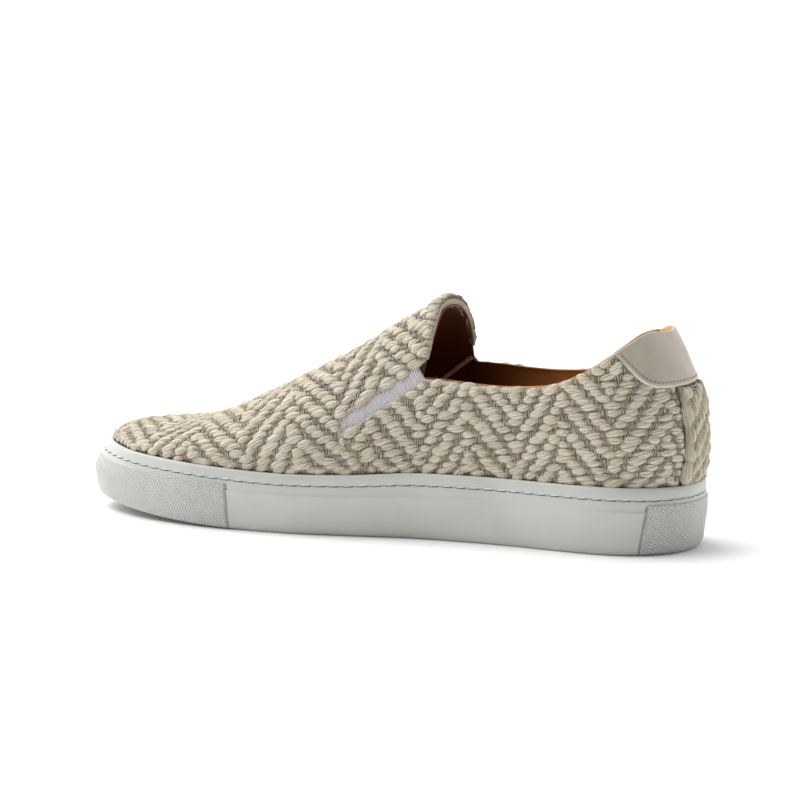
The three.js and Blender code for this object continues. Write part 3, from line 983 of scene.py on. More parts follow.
def tubes(centre: Array, side: Array, up: Array, half_wide: Array, half_high: Array,
          sides: int) -> tuple[Array, list[Array], Array]:
    """Many closed tubes at once, each with the same number of rings.

    Args:
        centre: ring centres, tubes by rings by 3.
        side: unit vector across each ring.
        up: unit vector out of the cloth at each ring.
        half_wide: half width of each ring.
        half_high: half height of each ring.
        sides: corners on a ring.

    Returns:
        Points, faces (quads and end triangles) and a UV for each face corner, in millimetres.
    """
    count, rings = centre.shape[:2]
    turn = np.linspace(0, 2 * np.pi, sides, endpoint=False)
    c, s = np.cos(turn), np.sin(turn)
    points = (centre[:, :, None] + side[:, :, None] * (half_wide[..., None] * c)[..., None]
              + up[:, :, None] * (half_high[..., None] * s)[..., None])
    ends = np.stack([centre[:, 0], centre[:, -1]], 1)
    per = rings * sides + 2
    flat = np.concatenate([points.reshape(count, -1, 3), ends], 1).reshape(-1, 3)
    r, k = np.meshgrid(np.arange(rings - 1), np.arange(sides), indexing="ij")
    r, k = r.ravel(), k.ravel()
    n = (k + 1) % sides
    quads = np.stack([r * sides + k, (r + 1) * sides + k, (r + 1) * sides + n, r * sides + n], -1)
    kk = np.arange(sides)
    nn = (kk + 1) % sides
    first = np.stack([kk, nn, np.full(sides, rings * sides)], -1)
    last = np.stack([nn, kk, np.full(sides, rings * sides + 1)], -1)
    last[:, :2] += (rings - 1) * sides
    base = (np.arange(count) * per)[:, None, None]
    step = np.linalg.norm(np.diff(centre, axis=1), axis=-1)
    along = np.concatenate([np.zeros((count, 1)), np.cumsum(step, 1)], 1)
    seed = np.random.default_rng(RNG_SEED).uniform(0, 900, (count, 1))
    girth = np.pi * (half_wide + half_high).mean(1, keepdims=True)
    u = along + seed
    vk = np.arange(sides + 1) / sides
    ring_u = u[:, r], u[:, r + 1]
    low_v, high_v = girth * vk[k], girth * vk[k + 1]
    uv_quads = np.stack([np.stack([ring_u[0], low_v], -1), np.stack([ring_u[1], low_v], -1),
                         np.stack([ring_u[1], high_v], -1), np.stack([ring_u[0], high_v], -1)], 2)
    v0, v1 = girth * vk[:-1][None], girth * vk[1:][None]
    u0, u1 = np.repeat(u[:, :1], sides, 1), np.repeat(u[:, -1:], sides, 1)
    uv_first = np.stack([np.stack([u0, v0], -1), np.stack([u0, v1], -1),
                         np.stack([u0 - 1, (v0 + v1) / 2], -1)], 2)
    uv_last = np.stack([np.stack([u1, v1], -1), np.stack([u1, v0], -1),
                        np.stack([u1 + 1, (v0 + v1) / 2], -1)], 2)
    faces = [(base + quads).reshape(-1, 4), (base + first).reshape(-1, 3),
             (base + last).reshape(-1, 3)]
    uv = np.concatenate([uv_quads.reshape(-1, 2), uv_first.reshape(-1, 2),
                         uv_last.reshape(-1, 2)])
    return flat, faces, uv


class Skin:
    """The last as a surface that rays and points can be set on."""

    def __init__(self, offset: float = 0.0, fold: bool = True) -> None:
        """Builds the surface.

        Args:
            offset: growth over the cloth's face, in millimetres.
            fold: whether the throat's fold is on it.
        """
        base = LAST.grid(0.0)
        growth = offset + LAST.fold_growth(base) * fold
        self.grid = base + LAST.normals(base) * growth[..., None]
        quads = ring_faces(*self.grid.shape[:2])
        flat = self.grid.reshape(-1, 3)
        self.tree = BVHTree.FromPolygons(flat.tolist(), quads.tolist())

    def hit(self, origin: Array, way: Array) -> tuple[Array, Array] | None:
        """First point of the surface along a ray.

        Args:
            origin: start of the ray.
            way: its direction.

        Returns:
            The point and its outward normal, or None.
        """
        point, normal, _, _ = self.tree.ray_cast(Vector(origin), Vector(way).normalized())
        return None if point is None else (np.array(point), np.array(normal))

    def near(self, point: Array) -> tuple[Array, Array]:
        """Nearest point of the surface.

        Args:
            point: any point.

        Returns:
            The point on the surface and its outward normal.
        """
        at, normal, _, _ = self.tree.find_nearest(Vector(point))
        return np.array(at), np.array(normal)

    def from_side(self, x: float, z: float, side: Side) -> tuple[Array, Array] | None:
        """The point seen at a place in side view.

        Args:
            x: along the shoe.
            z: height.
            side: which side is looked at.

        Returns:
            The point and its outward normal, or None.
        """
        return self.hit(np.array([x, side.value * 200.0, z]), np.array([0, -side.value, 0.0]))


class ClothGrid:
    """A piece of cloth laid on the last: points and normals on a grid of one millimetre."""

    def __init__(self, points: Array, normals: Array, start: tuple[float, float]) -> None:
        """Keeps the grid.

        Args:
            points: places, weft by warp by 3.
            normals: outward normals of the same shape.
            start: weft and warp distance of the first point.
        """
        self.points, self.normals, self.start = points, normals, np.array(start)

    def sample(self, a: Array, b: Array) -> tuple[Array, Array]:
        """Places on the cloth.

        Args:
            a: distance along the weft.
            b: distance along the warp.

        Returns:
            Points and unit normals.
        """
        a, b = a - self.start[0], b - self.start[1]
        rows, cols = self.points.shape[:2]
        a, b = np.clip(a, 0, rows - 1.001), np.clip(b, 0, cols - 1.001)
        i, j = a.astype(int), b.astype(int)
        fa, fb = (a - i)[..., None], (b - j)[..., None]
        out = []
        for g in (self.points, self.normals):
            low = g[i, j] * (1 - fa) + g[i + 1, j] * fa
            high = g[i, j + 1] * (1 - fa) + g[i + 1, j + 1] * fa
            out.append(low * (1 - fb) + high * fb)
        return out[0], unit(out[1])


def quarter_cloth(skin: Skin) -> ClothGrid:
    """The cloth round the heel, its weft level along the rim and its warp up the wall.

    Args:
        skin: the last's surface.

    Returns:
        The grid, weft distance 0 at the heel's middle and medial positive.
    """
    dome = skin.grid[2:]
    count = dome.shape[1]
    order = np.concatenate([np.arange(count // 2 + 1, count), np.arange(0, count // 2 + 1)])
    dome = dome[:, order]
    step = np.linalg.norm(np.diff(dome[0], axis=0), axis=-1)
    along = np.concatenate([[0], np.cumsum(step)])
    along -= along[np.argmax(order == 0)]
    rise = np.linalg.norm(np.diff(dome, axis=0), axis=-1)
    girth = np.concatenate([np.zeros((1, dome.shape[1])), np.cumsum(rise, 0)])
    warp = np.arange(0, 82.0)
    columns = np.stack([[np.interp(warp, girth[:, j], dome[:, j, c]) for c in range(3)]
                        for j in range(dome.shape[1])])
    weft = np.arange(-190.0, 191.0)
    points = np.stack([np.stack([np.interp(weft, along, columns[:, c, k]) for c in range(3)], -1)
                       for k in range(len(warp))], 1)
    da, db = np.gradient(points, axis=0), np.gradient(points, axis=1)
    return ClothGrid(points, unit(np.cross(db, da)), (-190.0, 0.0))


def vamp_cloth(skin: Skin, reach: int = 92) -> ClothGrid:
    """The cloth over the toes and instep, laid out from the ridge down both sides.

    Args:
        skin: the last's surface.
        reach: how far it goes down each side.

    Returns:
        The grid, weft distance from the throat to the toe and warp distance medial positive.
    """
    base = skin.grid[-1][: LAST.stations + 1]
    mirror = skin.grid[-1][(-np.arange(LAST.stations + 1)) % (2 * LAST.stations)]
    ridge = (base + mirror) / 2
    ridge = ridge[ridge[:, 0] > LAST.throat_x - 16]
    step = np.linalg.norm(np.diff(ridge, axis=0), axis=-1)
    along = np.concatenate([[0], np.cumsum(step)])
    along -= np.interp(LAST.throat_x - 3, ridge[:, 0], along)
    weft = np.arange(math.ceil(along[0]), math.floor(along[-1]))
    line = np.stack([np.interp(weft, along, ridge[:, c]) for c in range(3)], -1)
    tangent = unit(np.gradient(line, axis=0))
    points = np.zeros((len(weft), 2 * reach + 1, 3))
    normals = np.zeros_like(points)
    for i, start in enumerate(line):
        p0, n0 = skin.near(start)
        n0 = unit(n0 * [1, 0, 1])
        points[i, reach], normals[i, reach] = p0, n0
        for side in (1, -1):
            p, n = p0, n0
            way = unit(np.cross(n, tangent[i])) * side
            if way[1] * side < 0:
                way = -way
            for k in range(1, reach + 1):
                goal, n = skin.near(p + way)
                way = unit(goal - p - n * np.dot(goal - p, n)) if k < reach else way
                p = goal
                points[i, reach + side * k], normals[i, reach + side * k] = p, n
    for _ in range(6):
        normals[:, 1:-1] = unit(normals[:, :-2] + normals[:, 1:-1] + normals[:, 2:])
        normals[1:-1] = unit(normals[:-2] + normals[1:-1] + normals[2:])
    return ClothGrid(points, normals, (float(weft[0]), -float(reach)))


# Pieces --------------------------------------------------------------------------------------


def adopt(name: str, mesh: bpy.types.Mesh) -> bpy.types.Object:
    """Puts a finished mesh into the scene as a piece that rides on the shoe.

    Args:
        name: the piece's name.
        mesh: its mesh.

    Returns:
        The object.
    """
    obj = bpy.data.objects.new(name, mesh)
    bpy.context.scene.collection.objects.link(obj)
    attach(obj, "root")
    log.info("piece %s: %d points, %d faces", name, len(mesh.vertices), len(mesh.polygons))
    return obj


def weld(mesh: bpy.types.Mesh, reach_mm: float = 0.002) -> None:
    """Joins points that lie on each other.

    Args:
        mesh: the mesh, changed in place.
        reach_mm: the largest gap that closes.
    """
    bm = bmesh.new()
    bm.from_mesh(mesh)
    bmesh.ops.remove_doubles(bm, verts=bm.verts, dist=reach_mm * MM)
    bmesh.ops.dissolve_degenerate(bm, edges=bm.edges, dist=reach_mm * MM / 2)
    bm.to_mesh(mesh)
    bm.free()


def cutter(name: str, points: Array, faces: Sequence[Array],
           finish: bpy.types.Material | None = None) -> bpy.types.Object:
    """A closed helper solid that other solids are cut with.

    Args:
        name: its name.
        points: corners in millimetres.
        faces: arrays of corner numbers.
        finish: material that its cuts leave.

    Returns:
        The helper object, outside the shoe's pieces.
    """
    mesh = make_mesh(name, points, faces)
    weld(mesh)
    if finish is not None:
        mesh.materials.append(finish)
    obj = bpy.data.objects.new(name, mesh)
    bpy.context.scene.collection.objects.link(obj)
    return obj


def side_prism(name: str, outline: Array, tilt: float = 0.0,
               finish: bpy.types.Material | None = None,
               span: tuple[float, float] = (-FAR, FAR)) -> bpy.types.Object:
    """A helper prism across the shoe from an outline in side view.

    Args:
        name: its name.
        outline: x and z of its corners, clockwise or not.
        tilt: rise per unit across the shoe.
        span: where it begins and ends across the shoe.
        finish: material that its cuts leave.

    Returns:
        The helper object.
    """
    count = len(outline)
    area = np.sum(outline[:, 0] * np.roll(outline[:, 1], -1)
                  - np.roll(outline[:, 0], -1) * outline[:, 1])
    if area > 0:
        outline = outline[::-1]
    rows = [np.stack([outline[:, 0], np.full(count, y),
                      outline[:, 1] + tilt * (y - LAST.shift[1])], -1) for y in span]
    j = np.arange(count)
    n = (j + 1) % count
    walls = np.stack([j, n, n + count, j + count], -1)
    ends = [np.arange(count)[None, ::-1], (np.arange(count) + count)[None]]
    return cutter(name, np.concatenate(rows), [walls, *ends], finish)


def loft_faces(rings: int, count: int) -> list[Array]:
    """Faces of a closed loft: its side, its bottom and its top.

    Args:
        rings: number of rings.
        count: corners on a ring.

    Returns:
        Arrays of quads and triangles.
    """
    caps = [cap_faces(count, 0, False), cap_faces(count, (rings - 1) * count, True)]
    return [ring_faces(rings, count), *split_faces(caps[0]), *split_faces(caps[1])]


def carve(target: bpy.types.Object, cutters: Sequence[bpy.types.Object]) -> bpy.types.Mesh:
    """Cuts helper solids out of another and clears the helpers away.

    Args:
        target: the solid that is cut.
        cutters: what is taken from it.

    Returns:
        The mesh that is left.
    """
    for tool in cutters:
        mod = target.modifiers.new("cut", "BOOLEAN")
        mod.operation = "DIFFERENCE"
        mod.object = tool
        mod.solver = "MANIFOLD"
        mod.material_mode = "TRANSFER"
    graph = bpy.context.evaluated_depsgraph_get()
    mesh = bpy.data.meshes.new_from_object(target.evaluated_get(graph))
    for obj in (target, *cutters):
        old = obj.data
        bpy.data.objects.remove(obj)
        bpy.data.meshes.remove(old)
    return mesh


def swept(path: Array, out: Array, half_wide: Array | float, half_high: Array | float,
          sides: int = 12) -> tuple[Array, list[Array], Array]:
    """One closed roll along a path.

    Args:
        path: its middle line.
        out: direction of its height at each point.
        half_wide: half width across the path.
        half_high: half height along "out".
        sides: corners round it.

    Returns:
        Points, faces and UVs, as tubes() gives them.
    """
    along = unit(np.gradient(path, axis=0))
    side = unit(np.cross(out, along))
    up = unit(np.cross(along, side))
    n = len(path)
    wide = np.broadcast_to(half_wide, n).astype(float).copy()
    high = np.broadcast_to(half_high, n).astype(float).copy()
    return tubes(path[None], side[None], up[None], wide[None], high[None], sides)


def resample(path: Array, step: float, *others: Array) -> list[Array]:
    """A path with even steps.

    Args:
        path: its points.
        step: the wanted step.
        others: values at the points that go along.

    Returns:
        The new path and the new values.
    """
    length = np.concatenate([[0], np.cumsum(np.linalg.norm(np.diff(path, axis=0), axis=-1))])
    at = np.linspace(0, length[-1], max(2, int(length[-1] / step) + 1))
    return [np.stack([np.interp(at, length, v[:, c]) for c in range(3)], -1)
            for v in (path, *others)]


def ease(path: Array, rounds: int = 4) -> Array:
    """A path with its kinks smoothed out, its ends kept."""
    out = path.copy()
    for _ in range(rounds):
        out[1:-1] = (out[:-2] + 2 * out[1:-1] + out[2:]) / 4
    return out


def join(parts: Sequence[tuple[Array, list[Array], Array]]) -> tuple[Array, list[Array], Array]:
    """Several lots of points, faces and UVs as one.

    Args:
        parts: what tubes() and swept() give.

    Returns:
        The same, joined.
    """
    points, quads, tris, uv_quads, uv_tris, base = [], [], [], [], [], 0
    for p, faces, uv in parts:
        q = [f for f in faces if f.shape[1] == 4]
        t = [f for f in faces if f.shape[1] == 3]
        split = sum(f.size for f in q)
        points.append(p)
        quads += [f + base for f in q]
        tris += [f + base for f in t]
        uv_quads.append(uv[:split])
        uv_tris.append(uv[split:])
        base += len(p)
    return (np.concatenate(points), [np.concatenate(quads), np.concatenate(tris)],
            np.concatenate(uv_quads + uv_tris))


def sheet_faces(rows: int, cols: int) -> Array:
    """Faces of a closed pad made of an outer and an inner grid of equal size.

    Args:
        rows: rows of each grid.
        cols: columns of each grid.

    Returns:
        Quads. Row by column must turn towards the outside.
    """
    i, j = np.meshgrid(np.arange(rows - 1), np.arange(cols - 1), indexing="ij")
    i, j = i.ravel(), j.ravel()
    a = i * cols + j
    outer = np.stack([a, a + cols, a + cols + 1, a + 1], -1)
    half = rows * cols
    inner = outer[:, ::-1] + half
    edge = np.concatenate([np.arange(cols), np.arange(2 * cols - 1, half, cols),
                           np.arange(half - 2, half - cols - 1, -1),
                           np.arange(half - 2 * cols, 0, -cols)])
    nxt = np.roll(edge, -1)
    rim = np.stack([edge, nxt, nxt + half, edge + half], -1)
    return np.concatenate([outer, inner, rim])


@dataclass
class CupSole:
    """The moulded rubber cup: side, rim, panels, tread and the cup's inside."""

    finish: bpy.types.Material
    thread: bpy.types.Material
    count: int = 640
    stitch_pitch: float = 6.35
    stitch_long: float = 4.3
    toe_panel_at: float = 0.708
    heel_panel_high_at: float = 0.047
    heel_panel_low_at: float = 0.06
    panel_rise: float = 0.8
    panel_top: float = 0.745
    panel_gap: float = 0.0026
    tread_depth: float = 1.5
    tread_width: float = 3.0
    tread_pitch: float = 9.0
    tread_margin: float = 8.0
    arch: tuple[float, float, float] = (0.32, 0.53, 1.2)
    groove_up: float = 0.825
    profile: tuple[tuple[float, float], ...] = (
        (0.0, 4.4), (0.01, 3.85), (0.03, 3.45), (0.06, 3.1), (0.1, 2.72), (0.14, 2.42),
        (0.22, 2.1), (0.32, 1.7), (0.42, 1.3), (0.52, 0.9), (0.6, 0.56), (0.63, 0.42),
        (0.643, 0.38), (0.652, 0.46), (0.66, 0.66), (0.668, 0.8), (0.7, 0.8), (0.735, 0.8),
        (0.743, 0.8), (0.752, 0.8), (0.78, 0.8), (0.802, 0.8), (0.812, 0.92), (0.82, 1.3),
        (0.826, 1.5), (0.833, 1.3), (0.841, 0.92), (0.852, 0.8), (0.89, 0.8), (0.93, 0.82),
        (0.958, 0.92), (0.98, 1.14), (0.993, 1.5), (1.0, 2.0), (0.998, 2.6), (0.985, 3.05),
        (0.96, 3.2),
    )

    def ring(self, up: float, inset: Array | float) -> Array:
        """One ring of the side.

        Args:
            up: share of the rim's height.
            inset: distance inside the widest line.

        Returns:
            The ring's points.
        """
        at = LAST.ring_shares(self.count)
        lean = LAST.lip_lean(at) * max(0.0, (up - 0.5) / 0.5)
        _, x, y = LAST.plan_ring(inset + lean, self.count)
        return np.stack([x, y, LAST.spring(at) * (1 - up) + LAST.rim(at) * up], -1)

    def panel(self, at: Array, up: float) -> Array:
        """How far the ribbed panels stand out, 0 to 1.

        Args:
            at: shares of the length.
            up: share of the rim's height.

        Returns:
            1 on a panel.
        """
        heel = self.heel_panel_low_at + (self.heel_panel_high_at - self.heel_panel_low_at) * up
        on = (at > self.toe_panel_at) | (at < heel)
        return on.astype(float) * float(up < self.panel_top)

    def gap(self, at: Array, up: float) -> Array:
        """The thin groove along a panel's upright edge, 0 to 1."""
        heel = self.heel_panel_low_at + (self.heel_panel_high_at - self.heel_panel_low_at) * up
        toe_gap = (at < self.toe_panel_at) & (at > self.toe_panel_at - self.panel_gap)
        heel_gap = (at > heel) & (at < heel + self.panel_gap)
        return (toe_gap | heel_gap).astype(float) * float(0.02 < up < self.panel_top)

    def build(self) -> list[bpy.types.Object]:
        """Builds the cup and its stitches.

        Returns:
            The pieces.
        """
        at = LAST.ring_shares(self.count)
        rings, ribbed, gaps, ups = [], [], [], []
        for up, inset in self.profile:
            inner = inset > 1.9 and up > 0.9
            on = self.panel(at, up) * (0 if inner else 1)
            grown = max(inset, 0.8) - self.panel_rise * min(1.0, up / 0.05)
            depth = inset * (1 - on) + grown * on
            gap = self.gap(at, up) * (0 if inner else 1)
            rings.append(self.ring(up, depth + 0.45 * gap))
            ribbed.append(on * float(up > 0.015))
            gaps.append(gap)
            ups.append(up)
        _, x, y = LAST.plan_ring(LAST.rim_setback + LAST.cup_wall + LAST.lip_lean(at), self.count)
        rings.append(np.stack([x, y, LAST.floor(at)], -1))
        ribbed.append(np.zeros(len(at)))
        gaps.append(np.zeros(len(at)))
        side = np.array(rings)
        count = 2 * self.count
        points = [side.reshape(-1, 3)]
        faces = [ring_faces(len(rings), count)]
        floor_cap = split_faces(cap_faces(count, (len(rings) - 1) * count, True))
        under, under_quads = self.underside(side[0])
        points.append(under)
        ordered = [faces[0], floor_cap[0], under_quads + side.size // 3, floor_cap[1]]
        painted_shade_in_grooves = self.painted_shade_in_grooves(side, ups)
        tone = np.concatenate([np.concatenate(ribbed), np.zeros(len(under))])
        # Painted shade: dark dashes in the stitch groove, and a fainter dark line along the panels'
        # upright grooves.
        dark = np.concatenate([painted_shade_in_grooves.ravel() + 0.6 * np.concatenate(gaps), np.zeros(len(under))])
        uv = self.side_uv(side, ordered, len(under))
        cup = new_piece("cup_sole_body", np.concatenate(points), ordered, [self.finish],
                        uv=uv, tone=tone, tone_name="ribbed")
        layer = cup.data.attributes.new("groove_painted_shade", "FLOAT", "POINT")
        layer.data.foreach_set("value", np.clip(dark, 0, 1).astype(np.float32))
        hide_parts("cup_sole")
        return [cup, self.stitches()]

    def side_uv(self, side: Array, faces: Sequence[Array], extra: int) -> Array:
        """Millimetres along and up the side for each face corner.

        Args:
            side: rings of the side.
            faces: all face arrays, the side's first.
            extra: points after the side's.

        Returns:
            A pair for each face corner.
        """
        line = side[10]
        step = np.linalg.norm(np.roll(line, -1, 0) - line, axis=-1)
        along = np.concatenate([[0], np.cumsum(step)])
        count = side.shape[1]
        u = np.concatenate([np.tile(along[:count], len(side)), np.zeros(extra)])
        v = np.concatenate([side[..., 2].ravel(), np.zeros(extra)])
        out = []
        for i, f in enumerate(faces):
            pair = np.stack([u[f], v[f]], -1)
            if i == 0:
                wrap = (f % count == 0) & ((f % count).max(1, keepdims=True) == count - 1)
                pair[..., 0] = np.where(wrap, along[count], pair[..., 0])
            out.append(pair.reshape(-1, 2))
        return np.concatenate(out)

    def underside(self, ring: Array) -> tuple[Array, Array]:
        """The tread: a grid between the two sides of the lowest ring, with its grooves.

        Args:
            ring: the lowest ring of the side.

        Returns:
            Points and quads.
        """
        n, cols = self.count, 26
        j = np.arange(n + 1)
        medial, lateral = ring[j], ring[(-j) % (2 * n)]
        width = np.linalg.norm(medial - lateral, axis=-1)
        edge = np.clip(1.2 / np.maximum(width, 2.4), 0, 0.5)
        cuts = np.linspace(0, 1, cols - 1)
        shares = np.stack([np.zeros(n + 1), *[edge + (1 - 2 * edge) * c for c in cuts],
                           np.ones(n + 1)], 1)
        points = medial[:, None] * (1 - shares[..., None]) + lateral[:, None] * shares[..., None]
        at = LAST.share_of(points[..., 0])
        inside = np.minimum(shares, 1 - shares) * width[:, None] > self.tread_margin
        along = at * LAST.sole_length
        groove = (along % self.tread_pitch < self.tread_width) & inside
        ends = (at > 0.05) & (at < 0.95)
        low, high, hollow = self.arch
        arch = (at > low) & (at < high) & inside
        depth = np.where(groove & ends & ~((at > 0.3) & (at < 0.55)), self.tread_depth, 0.0)
        depth = np.where(arch, hollow, depth)
        points[..., 2] += depth
        i, k = np.meshgrid(np.arange(n), np.arange(cols), indexing="ij")
        a = (i * (cols + 1) + k).ravel()
        quads = np.stack([a, a + cols + 1, a + cols + 2, a + 1], -1)
        return points.reshape(-1, 3), quads

    def stitch_places(self) -> tuple[Array, Array, Array]:
        """Middle line of the stitch groove and the stitches' places along it.

        Returns:
            The line's points, its length at each point and the middles of the stitches.
        """
        line = self.ring(self.groove_up, 1.12)
        line = np.concatenate([line, line[:1]])
        step = np.linalg.norm(np.diff(line, axis=0), axis=-1)
        along = np.concatenate([[0], np.cumsum(step)])
        number = round(along[-1] / self.stitch_pitch)
        return line, along, (np.arange(number) + 0.5) * along[-1] / number

    def painted_shade_in_grooves(self, side: Array, ups: Sequence[float]) -> Array:
        """Painted shade in the stitch groove: a dark dash under each stitch, fainter between.

        Args:
            side: rings of the side.
            ups: their heights as shares.

        Returns:
            Painted shade at each point of the side.
        """
        _, along, middles = self.stitch_places()
        pitch = middles[1] - middles[0]
        phase = np.abs((along[:-1] / pitch) % 1 - 0.5) * pitch
        dash = smooth((self.stitch_long / 2 + 0.2 - phase) / 0.5)
        out = np.zeros(side.shape[:2])
        for i, up in enumerate(ups):
            if 0.81 < up < 0.83 and self.profile[i][1] < 1.9:
                out[i] = 0.15 + 0.85 * dash
        return out

    def stitches(self) -> bpy.types.Object:
        """The thread that shows on the side, one short length to each stitch."""
        line, along, middles = self.stitch_places()
        t = np.linspace(-1, 1, 7)
        where = middles[:, None] + t * self.stitch_long / 2
        centre = np.stack([np.interp(where, along, line[:, c]) for c in range(3)], -1)
        way = unit(np.gradient(centre, axis=1))
        side = np.broadcast_to(np.array([0, 0, 1.0]), way.shape)
        out = unit(np.cross(side, way))
        rise = 0.30 * (1 - t ** 4) - 0.12
        centre = centre + out * rise[None, :, None] + side * (0.28 - 0.2 * t[None, :, None])
        thick = np.broadcast_to(0.3 * (1 - 0.6 * t ** 4), where.shape)
        p, faces, uv = tubes(centre, side, out, thick, thick, 8)
        return new_piece("sole_stitches", p, faces, [self.thread], uv=uv)


@dataclass
class UpperShell:
    """The cloth's ground and its leather lining as one hollow shell, with rolled edges."""

    ground: bpy.types.Material
    lining: bpy.types.Material
    yarn: bpy.types.Material
    tape: bpy.types.Material
    sink: float = 0.7
    slot_depth: float = 2.05
    wrap_pitch: float = 2.9
    roll_low: float = 1.7
    roll_top: float = 2.5

    def build(self) -> list[bpy.types.Object]:
        """Builds the shell and the rolls that cover its cut edges."""
        base = LAST.grid(0.0)
        growth = LAST.fold_growth(base) * 0.8 - self.sink
        outer = base + LAST.normals(base) * growth[..., None]
        outer[0, :, 2] += LAST.fit_gap
        inner = LAST.grid(-LAST.upper_wall)
        inner[0, :, 2] -= 2 * LAST.upper_wall
        faces = loft_faces(*base.shape[:2])
        block = cutter("ground_block", outer.reshape(-1, 3), faces, self.ground)
        foot = cutter("foot_room", inner.reshape(-1, 3), faces, self.lining)
        cuts = [foot]
        for side in Side:
            aside = side.value * FAR
            x = LAST.x_of(np.linspace(-0.05, LAST.throat_at, 140))
            rise = LAST.collar_height_at(x, aside) - LAST.collar_tilt * (aside - LAST.shift[1])
            line, top = np.stack([x, rise], -1), LAST.instep_height * 1.6
            back = LAST.throat_x - LAST.throat_lean
            more = [[back, LAST.instep_height * 0.97], [back, top], [x[0], top]]
            span = tuple(sorted((LAST.shift[1] - side.value * 0.01, aside)))
            cuts.append(side_prism("collar_cut", np.concatenate([line, more]),
                                   LAST.collar_tilt, self.lining, span))
        slot = side_prism("gore_cut", gore_outline(0.0), 0.0, self.ground)
        under = LAST.grid(-self.slot_depth)
        under[0, :, 2] -= LAST.upper_wall
        floor = cutter("slot_floor", under.reshape(-1, 3), faces, self.lining)
        slot_mesh = carve(slot, [floor])
        slot = bpy.data.objects.new("gore_cut", slot_mesh)
        bpy.context.scene.collection.objects.link(slot)
        mesh = carve(block, [*cuts, slot])
        mesh.set_sharp_from_angle(angle=math.radians(50))
        shell = adopt("upper_shell", mesh)
        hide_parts("upper")
        return [shell, self.rolls(), self.piping(), self.tapes()]

    def throat_line(self, offset: float, low: float = 75.5) -> tuple[Array, Array]:
        """The edge of the throat, from the medial gore over the instep to the lateral one.

        Args:
            offset: depth under the cloth's face.
            low: height at which it ends.

        Returns:
            Points and outward normals.
        """
        skin = Skin(offset, fold=False)
        slope = -LAST.throat_lean / (LAST.instep_height * 0.97 - 69.5)
        origin = np.array([LAST.throat_x + slope * (60 - 69.5), 4.0, 60.0])
        points, normals = [], []
        for turn in np.radians(np.linspace(88, -88, 120)):
            hit = skin.hit(origin, np.array([slope * math.cos(turn), math.sin(turn),
                                             math.cos(turn)]))
            if hit is not None and hit[0][2] > low and not inside_gore(hit[0], 0.6):
                points.append(hit[0])
                normals.append(hit[1])
        return np.array(points), unit(ease(np.array(normals), 20))

    def collar_line(self, side: Side, offset: float, drop: float, start: float, end: float
                    ) -> tuple[Array, Array]:
        """The edge of the collar on one side.

        Args:
            side: which side.
            offset: growth over the cloth's face.
            drop: how far under the cut it runs.
            start: share of the length where it starts.
            end: share where it ends.

        Returns:
            Points and outward normals.
        """
        skin = Skin(offset)
        points, normals = [], []
        for x in LAST.x_of(np.linspace(start, end, 150)):
            z = float(LAST.collar_height_at(x, side.value * 30)) - drop
            hit = skin.from_side(float(x), z, side)
            if hit is not None:
                points.append(hit[0])
                normals.append(hit[1])
        return ease(np.array(points), 3), unit(ease(np.array(normals), 20))

    def rolls(self) -> bpy.types.Object:
        """The folded edges of the cloth at the throat and along the collar."""
        rng = np.random.default_rng(RNG_SEED)
        lots = []
        path, out = self.throat_line(-2.2)
        path, out = resample(path, 0.8, out)
        lift = unit(np.cross(out, np.gradient(path, axis=0)))
        lift = lift * np.sign(lift[:, :1])
        wave = 1 + 0.1 * ease(rng.normal(0, 1, (len(path), 1)) * 3, 5)
        size = self.roll_low + (self.roll_top - self.roll_low) * smooth((path[:, 2:] - 82) / 16)
        size = size * wave
        path = path + lift * (size - 1.2) + out * (size - 0.45)
        lots.append(swept(path, out, size[:, 0], size[:, 0], 18))
        lots += self.wraps(path, out, lift, size[:, 0], rng)
        for side in Side:
            lots += self.slot_folds(side, rng)
        for side in Side:
            path, out = self.collar_line(side, -1.2, 1.15, 0.105, LAST.throat_at - 0.002)
            path, out = resample(path, 0.8, out)
            wave = 1 + 0.1 * ease(rng.normal(0, 1, (len(path), 1)) * 3, 5)
            lots.append(swept(path, out, 1.15 * wave[:, 0], 1.1 * wave[:, 0], 12))
        p, faces, uv = join(lots)
        return new_piece("cloth_folds", p, faces, [self.yarn], uv=uv,
                         tone=np.full(len(p), 0.62))

    def wraps(self, path: Array, out: Array, lift: Array, size: Array,
              rng: np.random.Generator) -> list[tuple[Array, list[Array], Array]]:
        """The wefts that turn over the throat's edge, side by side.

        Args:
            path: middle line of the edge's roll.
            out: directions out of the cloth.
            lift: directions towards the toe.
            size: the roll's half height.
            rng: the source of chance.

        Returns:
            Short rolls as tubes() gives them.
        """
        step = np.linalg.norm(np.diff(path, axis=0), axis=-1).mean()
        where = np.arange(1.5, len(path) * step - 1.5, self.wrap_pitch) / step
        where = where + rng.normal(0, 0.3, len(where))
        pick = lambda v: np.stack([np.interp(where, np.arange(len(path)), v[:, c])
                                   for c in range(3)], -1)
        middle, up, front = pick(path), unit(pick(out)), unit(pick(lift))
        back = unit(np.cross(up, np.cross(front, up)))
        high = np.interp(where, np.arange(len(path)), size)
        turn = np.radians(np.linspace(-15, 180, 15))[None] + rng.normal(0, 0.12, (len(where), 1))
        ray = (back[:, None] * np.cos(turn)[..., None] + up[:, None] * np.sin(turn)[..., None])
        t = np.linspace(-1, 1, 15)
        full = np.maximum((1 - np.abs(t) ** 3) ** 0.6, 0.15)
        radius = (high * rng.uniform(0.93, 1.08, len(where)))[:, None]
        centre = middle[:, None] + ray * radius[..., None]
        way = unit(np.gradient(centre, axis=1))
        side = unit(np.cross(ray, way))
        wide = self.wrap_pitch * 0.56 * full * rng.uniform(0.9, 1.15, (len(where), 1))
        return [tubes(centre, side, ray, wide, np.broadcast_to(0.75 * full, wide.shape), 10)]

